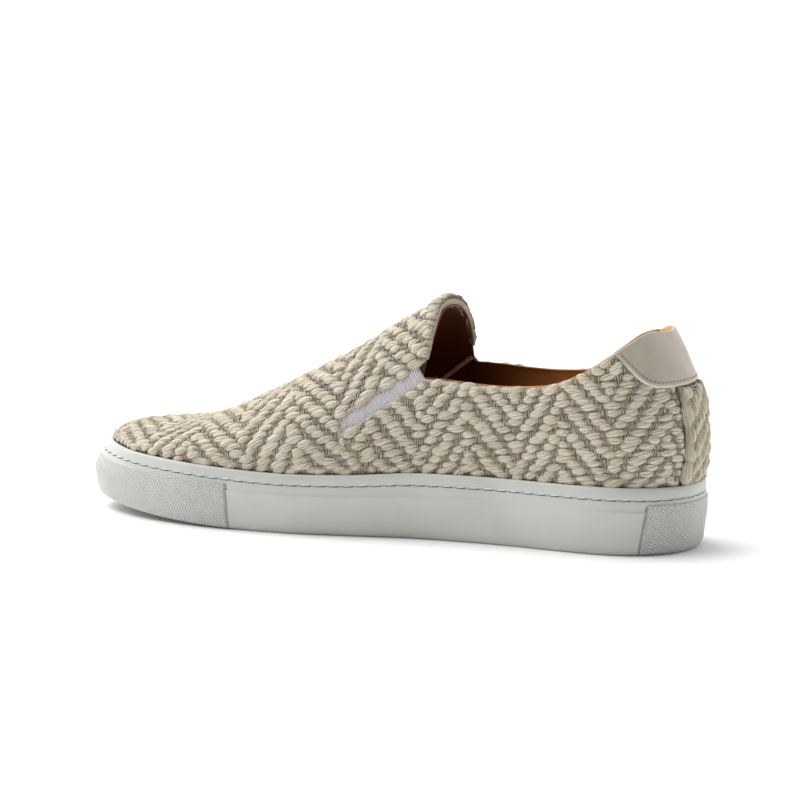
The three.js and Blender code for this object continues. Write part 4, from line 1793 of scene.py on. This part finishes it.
    def tapes(self) -> bpy.types.Object:
        """A narrow tape inside, along the gore that the lining covers."""
        lots = []
        for side in Side:
            skin = Skin(-LAST.upper_wall - 0.1)
            top, foot = GORE_LINE.mm()
            ends = [top + (foot - top) * share for share in np.linspace(-0.02, 0.95, 50)]
            hits = [skin.from_side(float(x), float(z), side) for x, z in ends]
            path, out = np.array([h[0] for h in hits]), np.array([h[1] for h in hits])
            path, out = resample(ease(path, 3), 0.8, ease(out, 10))
            lots.append(swept(path, out, 1.0, 0.4, 10))
        p, faces, uv = join(lots)
        return new_piece("lining_tapes", p, faces, [self.tape], uv=uv)

    def slot_folds(self, side: Side, rng: np.random.Generator
                   ) -> list[tuple[Array, list[Array], Array]]:
        """The turned edges of the gore's slot and of the seam under it.

        Args:
            side: which side.
            rng: the source of chance.

        Returns:
            Rolls as swept() gives them.
        """
        skin = Skin(-0.9)
        low_start, low_end, high_end, high_start = gore_outline(0.35)
        share = np.linspace(0, 1, 60)[:, None]
        top = low_start + (low_end - low_start) * (0.42 + 0.58 * share)
        crest = high_start + (high_end - high_start) * (0.42 + 0.58 * share)
        foot = low_end + (high_end - low_end) * share
        seam = SEAM_LINE.mm()
        heights = np.linspace(seam[0, 1] + 2, seam[-1, 1], 60)
        edge = np.stack([seam_x(heights) + 0.5, heights], -1)
        lots = []
        for line, radius in ((top, 0.9), (crest, 1.0), (foot, 0.8), (edge, 0.55)):
            hits = [skin.from_side(float(x), float(z), side) for x, z in line]
            hits = [h for h in hits if h is not None and h[0][2] > LAST.rim(
                LAST.share_of(h[0][0])) and h[0][2] < LAST.collar_height + 30]
            path, out = np.array([h[0] for h in hits]), np.array([h[1] for h in hits])
            path, out = resample(ease(path, 2), 0.7, ease(out, 10))
            wave = 1 + 0.14 * ease(rng.normal(0, 1, (len(path), 1)) * 3, 4)[:, 0]
            lots.append(swept(path, out, radius * wave, radius * wave, 10))
        return lots

    def piping(self) -> bpy.types.Object:
        """The lining's edge that shows inside the collar and the throat."""
        lots = []
        path, out = self.throat_line(-2.5, 73.0)
        path, out = resample(path, 0.8, out)
        lots.append(swept(path + [-0.25, 0, 0], out, 0.45, 0.55, 10))
        for side in Side:
            path, out = self.collar_line(side, -2.45, 0.1, 0.062, LAST.throat_at + 0.003)
            path, out = resample(path, 0.8, out)
            lots.append(swept(path, out, 0.6, 0.5, 10))
        p, faces, uv = join(lots)
        return new_piece("lining_edge", p, faces, [self.lining], uv=uv)


@dataclass
class Insole:
    """The leather-covered footbed on the cup's floor."""

    finish: bpy.types.Material
    thickness: float = 4.5
    round_over: float = 1.2

    def build(self) -> bpy.types.Object:
        """Builds the footbed with its rounded edge."""
        count = LAST.stations
        at = LAST.ring_shares(count)
        inset = LAST.feather + LAST.upper_wall + LAST.fit_gap + LAST.lip_lean(at)
        rings = []
        for turn in np.linspace(0, np.pi / 2, 6):
            lift = self.thickness - self.round_over * (1 - math.sin(turn))
            extra = self.round_over * (1 - math.cos(turn))
            _, x, y = LAST.plan_ring(inset + extra, count)
            rings.append(np.stack([x, y, LAST.floor(at) + LAST.fit_gap + lift], -1))
        _, x, y = LAST.plan_ring(inset, count)
        rings.insert(0, np.stack([x, y, LAST.floor(at) + LAST.fit_gap], -1))
        grid = np.array(rings)
        mesh = make_mesh("footbed", grid.reshape(-1, 3), loft_faces(*grid.shape[:2]))
        weld(mesh)
        mesh.materials.append(self.finish)
        piece = adopt("footbed", mesh)
        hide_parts("insole")
        return piece


@dataclass
class Gore:
    """A strip of ribbed elastic sunk into its slot."""

    finish: bpy.types.Material
    side: Side
    depth: float = 0.75
    thickness: float = 1.2
    half: float = 3.9

    def build(self) -> bpy.types.Object:
        """Builds the strip, a little crowned, its top end standing just over the collar."""
        skin, under = Skin(-self.depth), Skin(-self.depth - self.thickness)
        top, foot = GORE_LINE.mm()
        along = unit(foot - top)
        across = np.array([-along[1], along[0]])
        if across[1] < 0:
            across = -across
        start = top - along * 1.2
        length = float(np.linalg.norm(foot - start))
        rows, cols = 70, 15
        outer, inner = [], []
        for s in np.linspace(0, length + 0.6, rows):
            for t in np.linspace(-1, 1, cols) * self.half:
                x, z = start + along * s + across * t
                hit, low = skin.from_side(x, z, self.side), under.from_side(x, z, self.side)
                crown = 0.25 * (1 - (t / self.half) ** 2) - 0.3 * max(0.0, 1 - s / 1.2) ** 2
                outer.append(hit[0] + hit[1] * crown)
                inner.append(low[0])
        outer, inner = np.array(outer), np.array(inner)
        faces = sheet_faces(rows, cols)
        if self.side is Side.LATERAL:
            faces = faces[:, ::-1]
        s, t = np.meshgrid(np.linspace(0, length, rows), np.linspace(-1, 1, cols) * self.half,
                           indexing="ij")
        place = np.tile(np.stack([s.ravel(), t.ravel()], -1), (2, 1))
        name = f"elastic_{self.side.name.lower()}"
        piece = new_piece(name, np.concatenate([outer, inner]), [faces], [self.finish],
                          uv=place[faces].reshape(-1, 2))
        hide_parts(f"gore_{self.side.name.lower()}")
        return piece


@dataclass
class HeelTab:
    """The leather tab over the top of the heel, with its row of stitches."""

    finish: bpy.types.Material
    thread: bpy.types.Material
    thickness: float = 1.3
    edge_round: float = 0.8
    stitch_inset: float = 2.0
    stitch_pitch: float = 2.0
    rows: int = 40

    def columns(self) -> tuple[Array, Array, Array]:
        """Upright lines of the heel between the tab's lower edge and the collar.

        Returns:
            Lower ends, upper ends as positions along each column, and the columns themselves.
        """
        count = 460
        grid = LAST.grid(LAST.fit_gap, count, 120)[2:]
        order = np.concatenate([np.arange(-130, 0), np.arange(0, 131)])
        dome = grid[:, order % (2 * count)]
        x, y, z = dome[..., 0], dome[..., 1], dome[..., 2]
        low = z - LAST.heel_top * TAB_LINE.at("high", LAST.share_of(x))
        high = z - LAST.collar_height_at(x, y)
        first = np.argmax(low > 0, axis=0)
        last = np.argmax(high > 0, axis=0)
        j = np.arange(dome.shape[1])
        share = lambda f, k: k - 1 + f[k - 1, j] / (f[k - 1, j] - f[k, j])
        return share(low, first), share(high, last), dome

    def build(self) -> list[bpy.types.Object]:
        """Builds the tab and its stitches."""
        low, high, dome = self.columns()
        keep = high - low > 0.02
        low, high, dome = low[keep], high[keep], dome[:, keep]
        normals = LAST.normals(LAST.grid(0.0, 460, 120))[2:]
        order = np.concatenate([np.arange(-130, 0), np.arange(0, 131)])[keep]
        normals = normals[:, order % 920]
        j = np.arange(len(low))
        t = np.linspace(0, 1, self.rows)[:, None]
        where = low + (high - low) * t
        k = np.clip(where.astype(int), 0, dome.shape[0] - 2)
        f = (where - k)[..., None]
        base = dome[k, j] * (1 - f) + dome[k + 1, j] * f
        out = unit(normals[k, j] * (1 - f) + normals[k + 1, j] * f)
        foot, crest = base[0], base[-1]
        to_foot = self.reach(base, foot)
        to_crest = self.reach(base, crest)
        edge = np.minimum(to_foot, to_crest)
        round_off = 1 - np.minimum(edge / self.edge_round, 1)
        rise = np.sqrt(1 - round_off ** 2)
        sunk = 0.22 * np.exp(-((to_foot - self.stitch_inset) / 0.5) ** 2)
        swell = 0.25 * np.exp(-((to_foot - 0.9) / 0.6) ** 2)
        height = self.thickness * (0.25 + 0.75 * rise) - sunk + swell
        outer = base + out * height[..., None]
        faces = sheet_faces(self.rows, len(j))
        points = np.concatenate([outer.reshape(-1, 3), (base - out * 0.2).reshape(-1, 3)])
        pale = np.concatenate([np.exp(-(to_foot / 0.55) ** 2).ravel(), np.zeros(base.size // 3)])
        tab = new_piece("heel_tab_leather", points, [faces], [self.finish],
                        tone=pale, tone_name="cut_edge")
        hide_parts("heel_tab")
        return [tab, self.stitches(outer, out, to_foot)]

    def reach(self, base: Array, line: Array) -> Array:
        """Distance of each point of the tab from one of its edges.

        Args:
            base: the tab's points.
            line: the edge's points.

        Returns:
            Distances.
        """
        flat = base.reshape(-1, 3)
        best = np.full(len(flat), 1e9)
        a, b = line[:-1], line[1:]
        ab = b - a
        for i in range(len(a)):
            s = np.clip(((flat - a[i]) @ ab[i]) / max(ab[i] @ ab[i], 1e-9), 0, 1)
            best = np.minimum(best, np.linalg.norm(flat - a[i] - s[:, None] * ab[i], axis=-1))
        return best.reshape(base.shape[:2])

    def stitches(self, outer: Array, out: Array, to_foot: Array) -> bpy.types.Object:
        """The short stitches along the tab's lower edge.

        Args:
            outer: the tab's face.
            out: its normals.
            to_foot: distance from the lower edge.

        Returns:
            The stitches as one piece.
        """
        i = np.argmax(to_foot > self.stitch_inset, axis=0)
        j = np.arange(outer.shape[1])
        ok = i > 0
        line, normal = outer[i[ok], j[ok]], out[i[ok], j[ok]]
        line, normal = resample(ease(line, 8), 0.2, normal)
        per = self.stitch_pitch / 0.2
        middles = np.arange(per, len(line) - per, per)
        t = np.linspace(-1, 1, 5)
        where = middles[:, None] + t * 0.36 * per
        pick = lambda v: np.stack([np.interp(where, np.arange(len(line)), v[:, c])
                                   for c in range(3)], -1)
        centre, up = pick(line), unit(pick(normal))
        way = unit(np.gradient(centre, axis=1))
        side = unit(np.cross(up, way))
        centre = centre + up * (0.12 - 0.14 * t ** 2)[None, :, None]
        thick = np.broadcast_to(0.24 * (1 - 0.5 * t ** 4), where.shape)
        p, faces, uv = tubes(centre, side, up, thick, thick, 6)
        return new_piece("heel_tab_stitches", p, faces, [self.thread], uv=uv)


@dataclass
class HeelStrip:
    """The folded strip of cloth up the back seam."""

    ground: bpy.types.Material
    fold: bpy.types.Material
    half_width: float = 12.0
    foot_drop: float = 1.2
    rise: float = 1.5

    def grid(self, rows: int = 60, cols: int = 31) -> tuple[Array, Array]:
        """The strip's face on the heel, from foot to tab.

        Args:
            rows: steps up.
            cols: steps across.

        Returns:
            Points and outward normals.
        """
        skin = Skin(0.0)
        points, normals = np.zeros((rows, cols, 3)), np.zeros((rows, cols, 3))
        low = LAST.side_height * 0.985 - self.foot_drop + 1.6
        for c, y in enumerate(np.linspace(-self.half_width, self.half_width, cols)):
            for r, z in enumerate(np.linspace(low, LAST.heel_top * 0.752 - 0.3, rows)):
                hit = skin.hit(np.array([-220.0, y + LAST.shift[1], z]), np.array([1.0, 0, 0]))
                points[r, c], normals[r, c] = hit
        return points, unit(normals)

    def build(self) -> list[bpy.types.Object]:
        """Builds the strip's ground and its two folded edges."""
        rng = np.random.default_rng(RNG_SEED + 1)
        points, normals = self.grid()
        rows, cols = points.shape[:2]
        t = np.linspace(-1, 1, cols)
        up = np.linspace(0, 1, rows)[:, None]
        height = self.rise * (1 - np.abs(t) ** 6)[None] * np.ones((rows, 1))
        height += 0.35 * np.sin(up * 17 + 1.0) * (1 - t ** 2)[None]
        shoulder = np.clip((1 - up) / 0.09, 0, 1) ** 0.5
        height *= shoulder
        outer = points + normals * height[..., None]
        faces = sheet_faces(rows, cols)[:, ::-1]
        both = np.concatenate([outer.reshape(-1, 3), (points - normals * 0.3).reshape(-1, 3)])
        strip = new_piece("heel_strip_ground", both, [faces], [self.ground])
        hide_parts("heel_strip")
        lots = []
        for c in (1, cols - 2):
            path = points[:, c] + normals[:, c] * 0.9
            path, out = resample(path, 0.7, normals[:, c])
            wave = 1 + 0.2 * ease(rng.normal(0, 1, (len(path), 1)) * 3, 6)
            wave *= np.clip(np.linspace(14, 0.6, len(path))[:, None], 0, 1) ** 0.5
            lots.append(swept(path, out, 2.3 * wave[:, 0], 1.9 * wave[:, 0], 14))
        p, f, uv = join(lots)
        fold = new_piece("heel_strip_folds", p, f, [self.fold], uv=uv,
                         tone=np.full(len(p), 0.5))
        return [strip, fold]


@dataclass
class Weave:
    """Fat slubs of weft floating over thin warps in a broken herringbone."""

    name: str
    cloth: ClothGrid
    slub: bpy.types.Material
    warp: bpy.types.Material
    inside: Callable[[Array, float], Array]
    rows: tuple[int, int]
    span: tuple[float, float]
    slope: Callable[[Array], Array] = field(default=lambda a: np.zeros_like(a))
    row_pitch: float = 3.0
    period: float = 8.7
    step: float = 2.3
    column: float = 22.5
    phase: float = 0.0
    long: float = 7.8
    wide: float = 3.7
    high: float = 2.3
    hair_count: int = 10
    seed: int = 1

    def fold(self, a: Array) -> Array:
        """The weft distance folded back on itself at each column."""
        return np.abs(((a - self.phase) % (2 * self.column)) - self.column)

    def floats(self) -> tuple[Array, Array, Array]:
        """Middles of the slubs.

        Returns:
            Row numbers and weft distances.
        """
        out_r, out_a = [], []
        fine = np.arange(self.span[0], self.span[1], 0.1)
        for r in range(*self.rows):
            level = (self.fold(fine) - r * self.step) / self.period
            cross = np.nonzero(np.diff(np.floor(level)) != 0)[0]
            places = fine[cross]
            keep: list[float] = []
            for a in places:
                if keep and a - keep[-1] < 0.6 * self.period:
                    keep[-1] = (keep[-1] + a) / 2
                    continue
                if keep and a - keep[-1] > 1.38 * self.period:
                    keep.append((keep[-1] + a) / 2)
                keep.append(a)
            out_a += keep
            out_r += [r] * len(keep)
        return np.array(out_r), np.array(out_a)

    def build(self) -> list[bpy.types.Object]:
        """Builds the slubs and the warps between them."""
        rng = np.random.default_rng(self.seed)
        r, a = self.floats()
        order = np.lexsort((a, r))
        r, a = r[order], a[order]
        n = len(a)
        gap_after = np.where(np.roll(r, -1) == r, np.roll(a, -1) - a, self.period)
        gap_before = np.where(np.roll(r, 1) == r, a - np.roll(a, 1), self.period)
        room = np.clip((gap_after + gap_before) / 2, 5.5, 12)
        length = self.long * room / self.period * rng.uniform(0.88, 1.16, n)
        fat = rng.uniform(0, 1, n) > 0.93
        width = self.wide * rng.uniform(0.88, 1.1, n) * np.where(fat, 1.3, 1)
        height = self.high * rng.uniform(0.9, 1.12, n) * np.where(fat, 1.2, 1)
        a_mid = a + rng.normal(0, 0.35, n)
        b_mid = r * self.row_pitch + self.slope(a_mid) + rng.normal(0, 0.18, n)
        grade = (self.slope(a_mid + 1) - self.slope(a_mid - 1)) / 2
        turned = np.sign(self.fold(a_mid + 0.5) - self.fold(a_mid - 0.5))
        tilt = np.arctan(grade) + 0.1 * turned + rng.normal(0, 0.09, n)
        tone = np.clip(rng.normal(0.55, 0.2, n), 0, 1)
        pieces = [self.slubs(a_mid, b_mid, length / 2, width / 2, height / 2, tilt, tone, rng)]
        pieces.append(self.warps(r, a, gap_after, rng))
        return pieces

    def slubs(self, a: Array, b: Array, half: Array, wide: Array, high: Array, tilt: Array,
              tone: Array, rng: np.random.Generator) -> bpy.types.Object:
        """Lays the slubs on the cloth.

        Args:
            a: weft distances of their middles.
            b: warp distances.
            half: half lengths.
            wide: half widths.
            high: half heights.
            tilt: angle to the weft.
            tone: brightness, 0 to 1.
            rng: the source of chance.

        Returns:
            All of them as one piece.
        """
        a, half = a.copy(), half.copy()
        b = self.settled(a, b)
        c, s = np.cos(tilt), np.sin(tilt)
        for _ in range(10):
            for way in (1, -1):
                p, _ = self.cloth.sample(a + way * half * c * 0.85, b + way * half * s * 0.85)
                out = ~self.inside(p, -0.1)
                a = a - np.where(out, way * 0.35 * c, 0)
                b = b - np.where(out, way * 0.35 * s, 0)
                half = half - np.where(out, 0.35, 0)
        p, _ = self.cloth.sample(a, b)
        good = self.inside(p, 0.9) & (half > 1.3)
        a, b, half, wide, high = a[good], b[good], half[good], wide[good], high[good]
        c, s, tone = c[good], s[good], tone[good]
        t = np.linspace(-1, 1, 11)
        t = np.sin(t * np.pi / 2)
        bend = rng.normal(0, 0.25, len(a))
        aa = a[:, None] + half[:, None] * t * c[:, None]
        bb = b[:, None] + half[:, None] * t * s[:, None] + bend[:, None] * (1 - t ** 2)
        p, n = self.cloth.sample(aa, bb)
        way = unit(np.gradient(p, axis=1))
        side = unit(np.cross(n, way))
        n = np.cross(way, side)
        full = np.maximum((1 - np.abs(t) ** 2.0) ** 0.62, 0.1)
        skew = 1 + rng.normal(0, 0.1, (len(a), 1)) * t
        lift = -0.2 - 0.75 * np.abs(t) ** 2.2
        centre = p + n * lift[None, :, None]
        points, faces, uv = tubes(centre, side, n, wide[:, None] * full * skew,
                                  high[:, None] * full, 10)
        per = len(points) // len(a)
        shade = np.repeat(tone, per)
        self.hairs(centre, side, n, wide[:, None] * full, high[:, None] * full, rng)
        return new_piece(f"{self.name}_slubs", points, faces, [self.slub], uv=uv,
                         tone=shade)

    def hairs(self, centre: Array, side: Array, out: Array, wide: Array, high: Array,
              rng: np.random.Generator) -> bpy.types.Object:
        """Stray fibres that stand off the slubs, as thin blades.

        Args:
            centre: middles of the slubs' rings.
            side: directions across them.
            out: directions out of the cloth.
            wide: half widths of the rings.
            high: half heights of the rings.
            rng: the source of chance.

        Returns:
            All of them as one piece.
        """
        count = centre.shape[0] * self.hair_count
        i = np.repeat(np.arange(centre.shape[0]), self.hair_count)
        k = rng.integers(1, centre.shape[1] - 1, count)
        turn = rng.uniform(-0.1, np.pi + 0.1, count)[:, None]
        c, s = np.cos(turn), np.sin(turn)
        root = (centre[i, k] + side[i, k] * wide[i, k][:, None] * c
                + out[i, k] * high[i, k][:, None] * s * 0.97)
        free = rng.normal(0, 0.5, (count, 3))
        aim = unit(side[i, k] * c + out[i, k] * s + free)
        length = rng.gamma(3.0, 0.3, count)[:, None]
        droop = unit(aim + rng.normal(0, 0.5, (count, 3)))
        mid, tip = root + aim * length * 0.55, root + aim * length * 0.55 + droop * length * 0.45
        across = unit(np.cross(aim, rng.normal(0, 1, (count, 3)))) * 0.035
        points = np.stack([root - across, root + across, mid + across * 0.8,
                           mid - across * 0.8, tip], 1).reshape(-1, 3)
        base = np.arange(count)[:, None] * 5
        faces = [base + np.array([[0, 1, 2, 3]]), base + np.array([[3, 2, 4]])]
        return new_piece(f"{self.name}_hairs", points, faces, [self.slub],
                         uv=np.zeros((count * 7, 2)), tone=np.full(len(points), 0.9))

    def settled(self, a: Array, b: Array) -> Array:
        """Moves slubs that lie just over an edge back across it.

        Args:
            a: weft distances of their middles.
            b: warp distances.

        Returns:
            New warp distances.
        """
        out, done = b.copy(), np.zeros(len(b), bool)
        for move in (0.0, 0.5, -0.5, 1.0, -1.0, 1.5, -1.5, 2.0, -2.0):
            p, _ = self.cloth.sample(a, b + move)
            fits = self.inside(p, 1.0) & ~done
            out = np.where(fits, b + move, out)
            done |= fits
        return out

    def warps(self, r: Array, a: Array, gap: Array, rng: np.random.Generator
              ) -> bpy.types.Object:
        """Lays the thin warps that cross in the gaps between slubs.

        Args:
            r: rows of the slubs.
            a: weft distances of the slubs.
            gap: distance to the next slub in the row.
            rng: the source of chance.

        Returns:
            All of them as one piece.
        """
        pick = (gap > 4.0) & (gap < 16)
        lots_a, lots_b = [], []
        for shift in (-1.5, -0.5, 0.5, 1.5):
            mid = a[pick] + gap[pick] / 2 + shift * 1.0 + rng.normal(0, 0.14, pick.sum())
            lots_a.append(mid)
            lots_b.append(r[pick] * self.row_pitch + self.slope(mid))
        a_mid, b_mid = np.concatenate(lots_a), np.concatenate(lots_b)
        p, _ = self.cloth.sample(a_mid, b_mid)
        good = self.inside(p, 0.9)
        a_mid, b_mid = a_mid[good], b_mid[good]
        t = np.linspace(-1, 1, 6)
        lean = rng.normal(0, 0.14, len(a_mid))
        half = self.row_pitch * rng.uniform(0.52, 0.66, len(a_mid))
        aa = a_mid[:, None] + lean[:, None] * t * 2
        bb = b_mid[:, None] + half[:, None] * t
        p, n = self.cloth.sample(aa, bb)
        way = unit(np.gradient(p, axis=1))
        side = unit(np.cross(n, way))
        n = np.cross(way, side)
        lift = 0.05 - 0.75 * t ** 2
        centre = p + n * lift[None, :, None]
        thick = np.broadcast_to(0.3 * (1 - 0.5 * t ** 4), aa.shape) * rng.uniform(
            0.85, 1.2, (len(a_mid), 1))
        points, faces, uv = tubes(centre, side, n, thick, thick, 5)
        per = len(points) // len(a_mid)
        shade = np.repeat(np.clip(rng.normal(0.5, 0.2, len(a_mid)), 0, 1), per)
        return new_piece(f"{self.name}_warps", points, faces, [self.warp], uv=uv,
                         tone=shade)


def strip_cloth(skin: Skin) -> ClothGrid:
    """The cloth of the heel strip, its weft upright.

    Args:
        skin: the last's surface.

    Returns:
        The grid, weft distance from the floor and warp distance from the heel's middle.
    """
    weft, warp = np.arange(26.0, 76.0), np.arange(-14.0, 15.0)
    points, normals = np.zeros((len(weft), len(warp), 3)), np.zeros((len(weft), len(warp), 3))
    for j, y in enumerate(warp):
        for i, z in enumerate(weft):
            hit = skin.hit(np.array([-220.0, y + LAST.shift[1], z]), np.array([1.0, 0, 0]))
            points[i, j], normals[i, j] = hit[0] + hit[1] * 1.5, hit[1]
    return ClothGrid(points, normals, (26.0, -14.0))


def above_rim(p: Array, margin: float) -> Array:
    """Whether points lie over the cup sole's rim.

    Args:
        p: points.
        margin: how far over it at least.

    Returns:
        True for each point that does.
    """
    return p[..., 2] > LAST.rim(LAST.share_of(p[..., 0])) + margin


def on_quarter(p: Array, margin: float) -> Array:
    """Whether points lie on the quarter, clear of its edges.

    Args:
        p: points.
        margin: distance from the edges.

    Returns:
        True for each point inside.
    """
    x, y, z = p[..., 0], p[..., 1], p[..., 2]
    at = LAST.share_of(x)
    seam = x < seam_x(z) - 0.35 * margin
    collar = z < LAST.collar_height_at(x, y) - 0.8 * margin - 0.2
    gore = ~inside_gore(p, margin - 0.2)
    top, foot = GORE_LINE.mm()
    line = top[1] + (foot - top)[1] / (foot - top)[0] * (x - top[0])
    under = (z < line) | (x < top[0] - 6)
    tab = (z < LAST.heel_top * TAB_LINE.at("high", at) - 0.5 * margin) | (at > 0.116)
    strip = (np.abs(y - LAST.shift[1]) > 12.8 + 0.6 * margin) | (x > -110)
    return seam & collar & gore & under & tab & strip & above_rim(p, margin * 0.8)


def on_vamp(p: Array, margin: float) -> Array:
    """Whether points lie on the vamp, clear of its edges.

    Args:
        p: points.
        margin: distance from the edges.

    Returns:
        True for each point inside.
    """
    x, z = p[..., 0], p[..., 2]
    top, foot = GORE_LINE.mm()
    line = top[1] + (foot - top)[1] / (foot - top)[0] * (x - top[0])
    above = (z > line) | (x > seam_x(z))
    seam = (x > seam_x(z) + 0.35 * margin) | (z > line)
    throat = x > LAST.throat_plane(z) + margin + 0.3
    gore = ~inside_gore(p, margin - 0.2)
    return above & seam & throat & gore & above_rim(p, margin * 0.8)


def on_strip(p: Array, margin: float) -> Array:
    """Whether points lie on the heel strip, clear of its folds.

    Args:
        p: points.
        margin: distance from the edges.

    Returns:
        True for each point inside.
    """
    wide = np.abs(p[..., 1] - LAST.shift[1]) < 10.6 - 0.5 * margin
    top = p[..., 2] < LAST.heel_top * 0.752 - 0.2 - 0.5 * margin
    return wide & top & above_rim(p, margin * 0.8)


def quarter_slope(a: Array) -> Array:
    """How the wefts of the quarter fall towards the toe."""
    away = np.maximum(0, np.abs(a) - 40)
    return -0.17 * away


@dataclass
class Studio:
    """A plain pale floor, soft light and the camera at the photograph's angle."""

    floor: bpy.types.Material
    azimuth: float = 204.0
    elevation: float = 9.2
    distance: float = 1700.0
    lens: float = 172.8
    aim: tuple[float, float] = (0.885, 9.74)

    def build(self) -> None:
        """Adds the floor, the world, the lights and the camera."""
        bpy.ops.mesh.primitive_plane_add(size=12, location=(0, 0, 0))
        ground = bpy.context.object
        ground.name = "floor"
        ground.data.materials.append(self.floor)
        bpy.context.scene.world = self.world()
        self.sky(2.5, 50)
        self.camera()
        bpy.context.scene.view_settings.view_transform = "Standard"
        bpy.context.scene.view_settings.look = "None"

    def world(self) -> bpy.types.World:
        """White all round but for the side from which the shoe is looked at.

        Returns:
            The world.
        """
        world = bpy.data.worlds.new("studio")
        world.use_nodes = True
        way = add_node(world, "TexCoord").outputs["Generated"]
        side = (-0.5, 0.85, 0.16)
        facing = add_node(world, "VectorMath", {0: way, 1: side}, operation="DOT_PRODUCT")
        light = add_node(world, "MapRange", {"Value": facing.outputs["Value"], "From Min": 0.0,
                                             "From Max": 0.8, "To Min": 1.1, "To Max": 0.02},
                         interpolation_type="SMOOTHSTEP")
        background = world.node_tree.nodes["Background"]
        world.node_tree.links.new(light.outputs["Result"], background.inputs["Strength"])
        background.inputs["Color"].default_value = (1, 1, 1, 1)
        return world

    def sky(self, strength: float, softness: float) -> None:
        """Adds one wide light from overhead, as from a large softbox.

        Args:
            strength: its light on the floor.
            softness: its width in degrees.
        """
        data = bpy.data.lights.new("softbox", "SUN")
        data.energy = strength
        data.angle = math.radians(softness)
        obj = bpy.data.objects.new("softbox", data)
        obj.rotation_euler = (math.radians(2), math.radians(30), 0)
        bpy.context.scene.collection.objects.link(obj)

    def camera(self) -> None:
        """Adds the camera."""
        az, el = math.radians(self.azimuth), math.radians(self.elevation)
        back = Vector((math.sin(az) * math.cos(el), -math.cos(az) * math.cos(el), math.sin(el)))
        right = Vector((math.cos(az), math.sin(az), 0))
        up = back.cross(right)
        eye = Vector((0, 0, 45)) + right * self.aim[0] + up * self.aim[1] + back * self.distance
        data = bpy.data.cameras.new("camera")
        data.lens = self.lens
        data.sensor_width = 36
        data.clip_end = 50
        obj = bpy.data.objects.new("camera", data)
        obj.location = eye * MM
        obj.rotation_euler = (-back).to_track_quat("-Z", "Y").to_euler()
        bpy.context.scene.collection.objects.link(obj)
        bpy.context.scene.camera = obj


def main() -> None:
    """Builds the shoe piece by piece and sets up the studio."""
    logging.basicConfig(level=logging.INFO, format="%(name)s: %(message)s")
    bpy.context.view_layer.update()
    cotton = YarnFinish("slub_cotton_spun", roughness=0.95, specular=0.2, sheen=0.25).build()
    warp = YarnFinish("warp_thread_twisted", roughness=0.85, specular=0.25, sheen=0.1,
                      light="E9E2D6", middle="C9BFAE", dark="9A8E7B", fibre_mm=0.25,
                      ply_mm=0.5, depth_mm=0.06).build()
    ground = GroundFinish("base_cloth_woven", roughness=1.0, specular=0.1).build()
    lining = LiningFinish("lining_leather_vegetable_tanned", roughness=0.6, specular=0.3,
                          light="CE995F", dark="BB8850").build()
    footbed = LeatherFinish("insole_leather_rolled", roughness=0.5, light="B98553",
                            dark="A87445").build()
    tab = TabFinish("tab_leather_smooth_dyed", roughness=0.42).build()
    elastic = ElasticFinish("elastic_webbing_ribbed", roughness=0.8, specular=0.3).build()
    tape = PlainFinish("tape_cotton_twill", roughness=0.9, light="F0E8DF", dark="D6CBC0",
                       size_mm=0.8).build()
    rubber = RubberFinish("sole_rubber_moulded", roughness=0.5, specular=0.4).build()
    thread = PlainFinish("sole_thread_waxed", roughness=0.7, light="F1F2F1", dark="E6E8E7",
                         size_mm=2.0).build()
    tab_thread = PlainFinish("tab_thread_polyester", roughness=0.6, light="9A8D80",
                             dark="85786B", size_mm=1.0).build()
    floor = PlainFinish("floor_paper", roughness=0.9, light="FFFFFF", dark="FDFDFD").build()
    CupSole(rubber, thread).build()
    UpperShell(ground, lining, cotton, tape).build()
    Insole(footbed).build()
    for side in Side:
        Gore(elastic, side).build()
    HeelTab(tab, tab_thread).build()
    HeelStrip(ground, cotton).build()
    skin = Skin(0.0)
    quarter = quarter_cloth(skin)
    Weave("quarter", quarter, cotton, warp, on_quarter, (-22, 30), (-188, 188), quarter_slope,
          seed=3, phase=21.0).build()
    Weave("vamp", vamp_cloth(skin), cotton, warp, on_vamp, (-31, 32), (-8, 200), seed=5,
          phase=10.0, high=2.0, wide=3.9).build()
    Weave("strip", strip_cloth(skin), cotton, warp, on_strip, (-4, 5), (20, 80), seed=7,
          column=60.0, phase=15.0).build()
    Studio(floor).build()


if __name__ == "__main__":
    main()
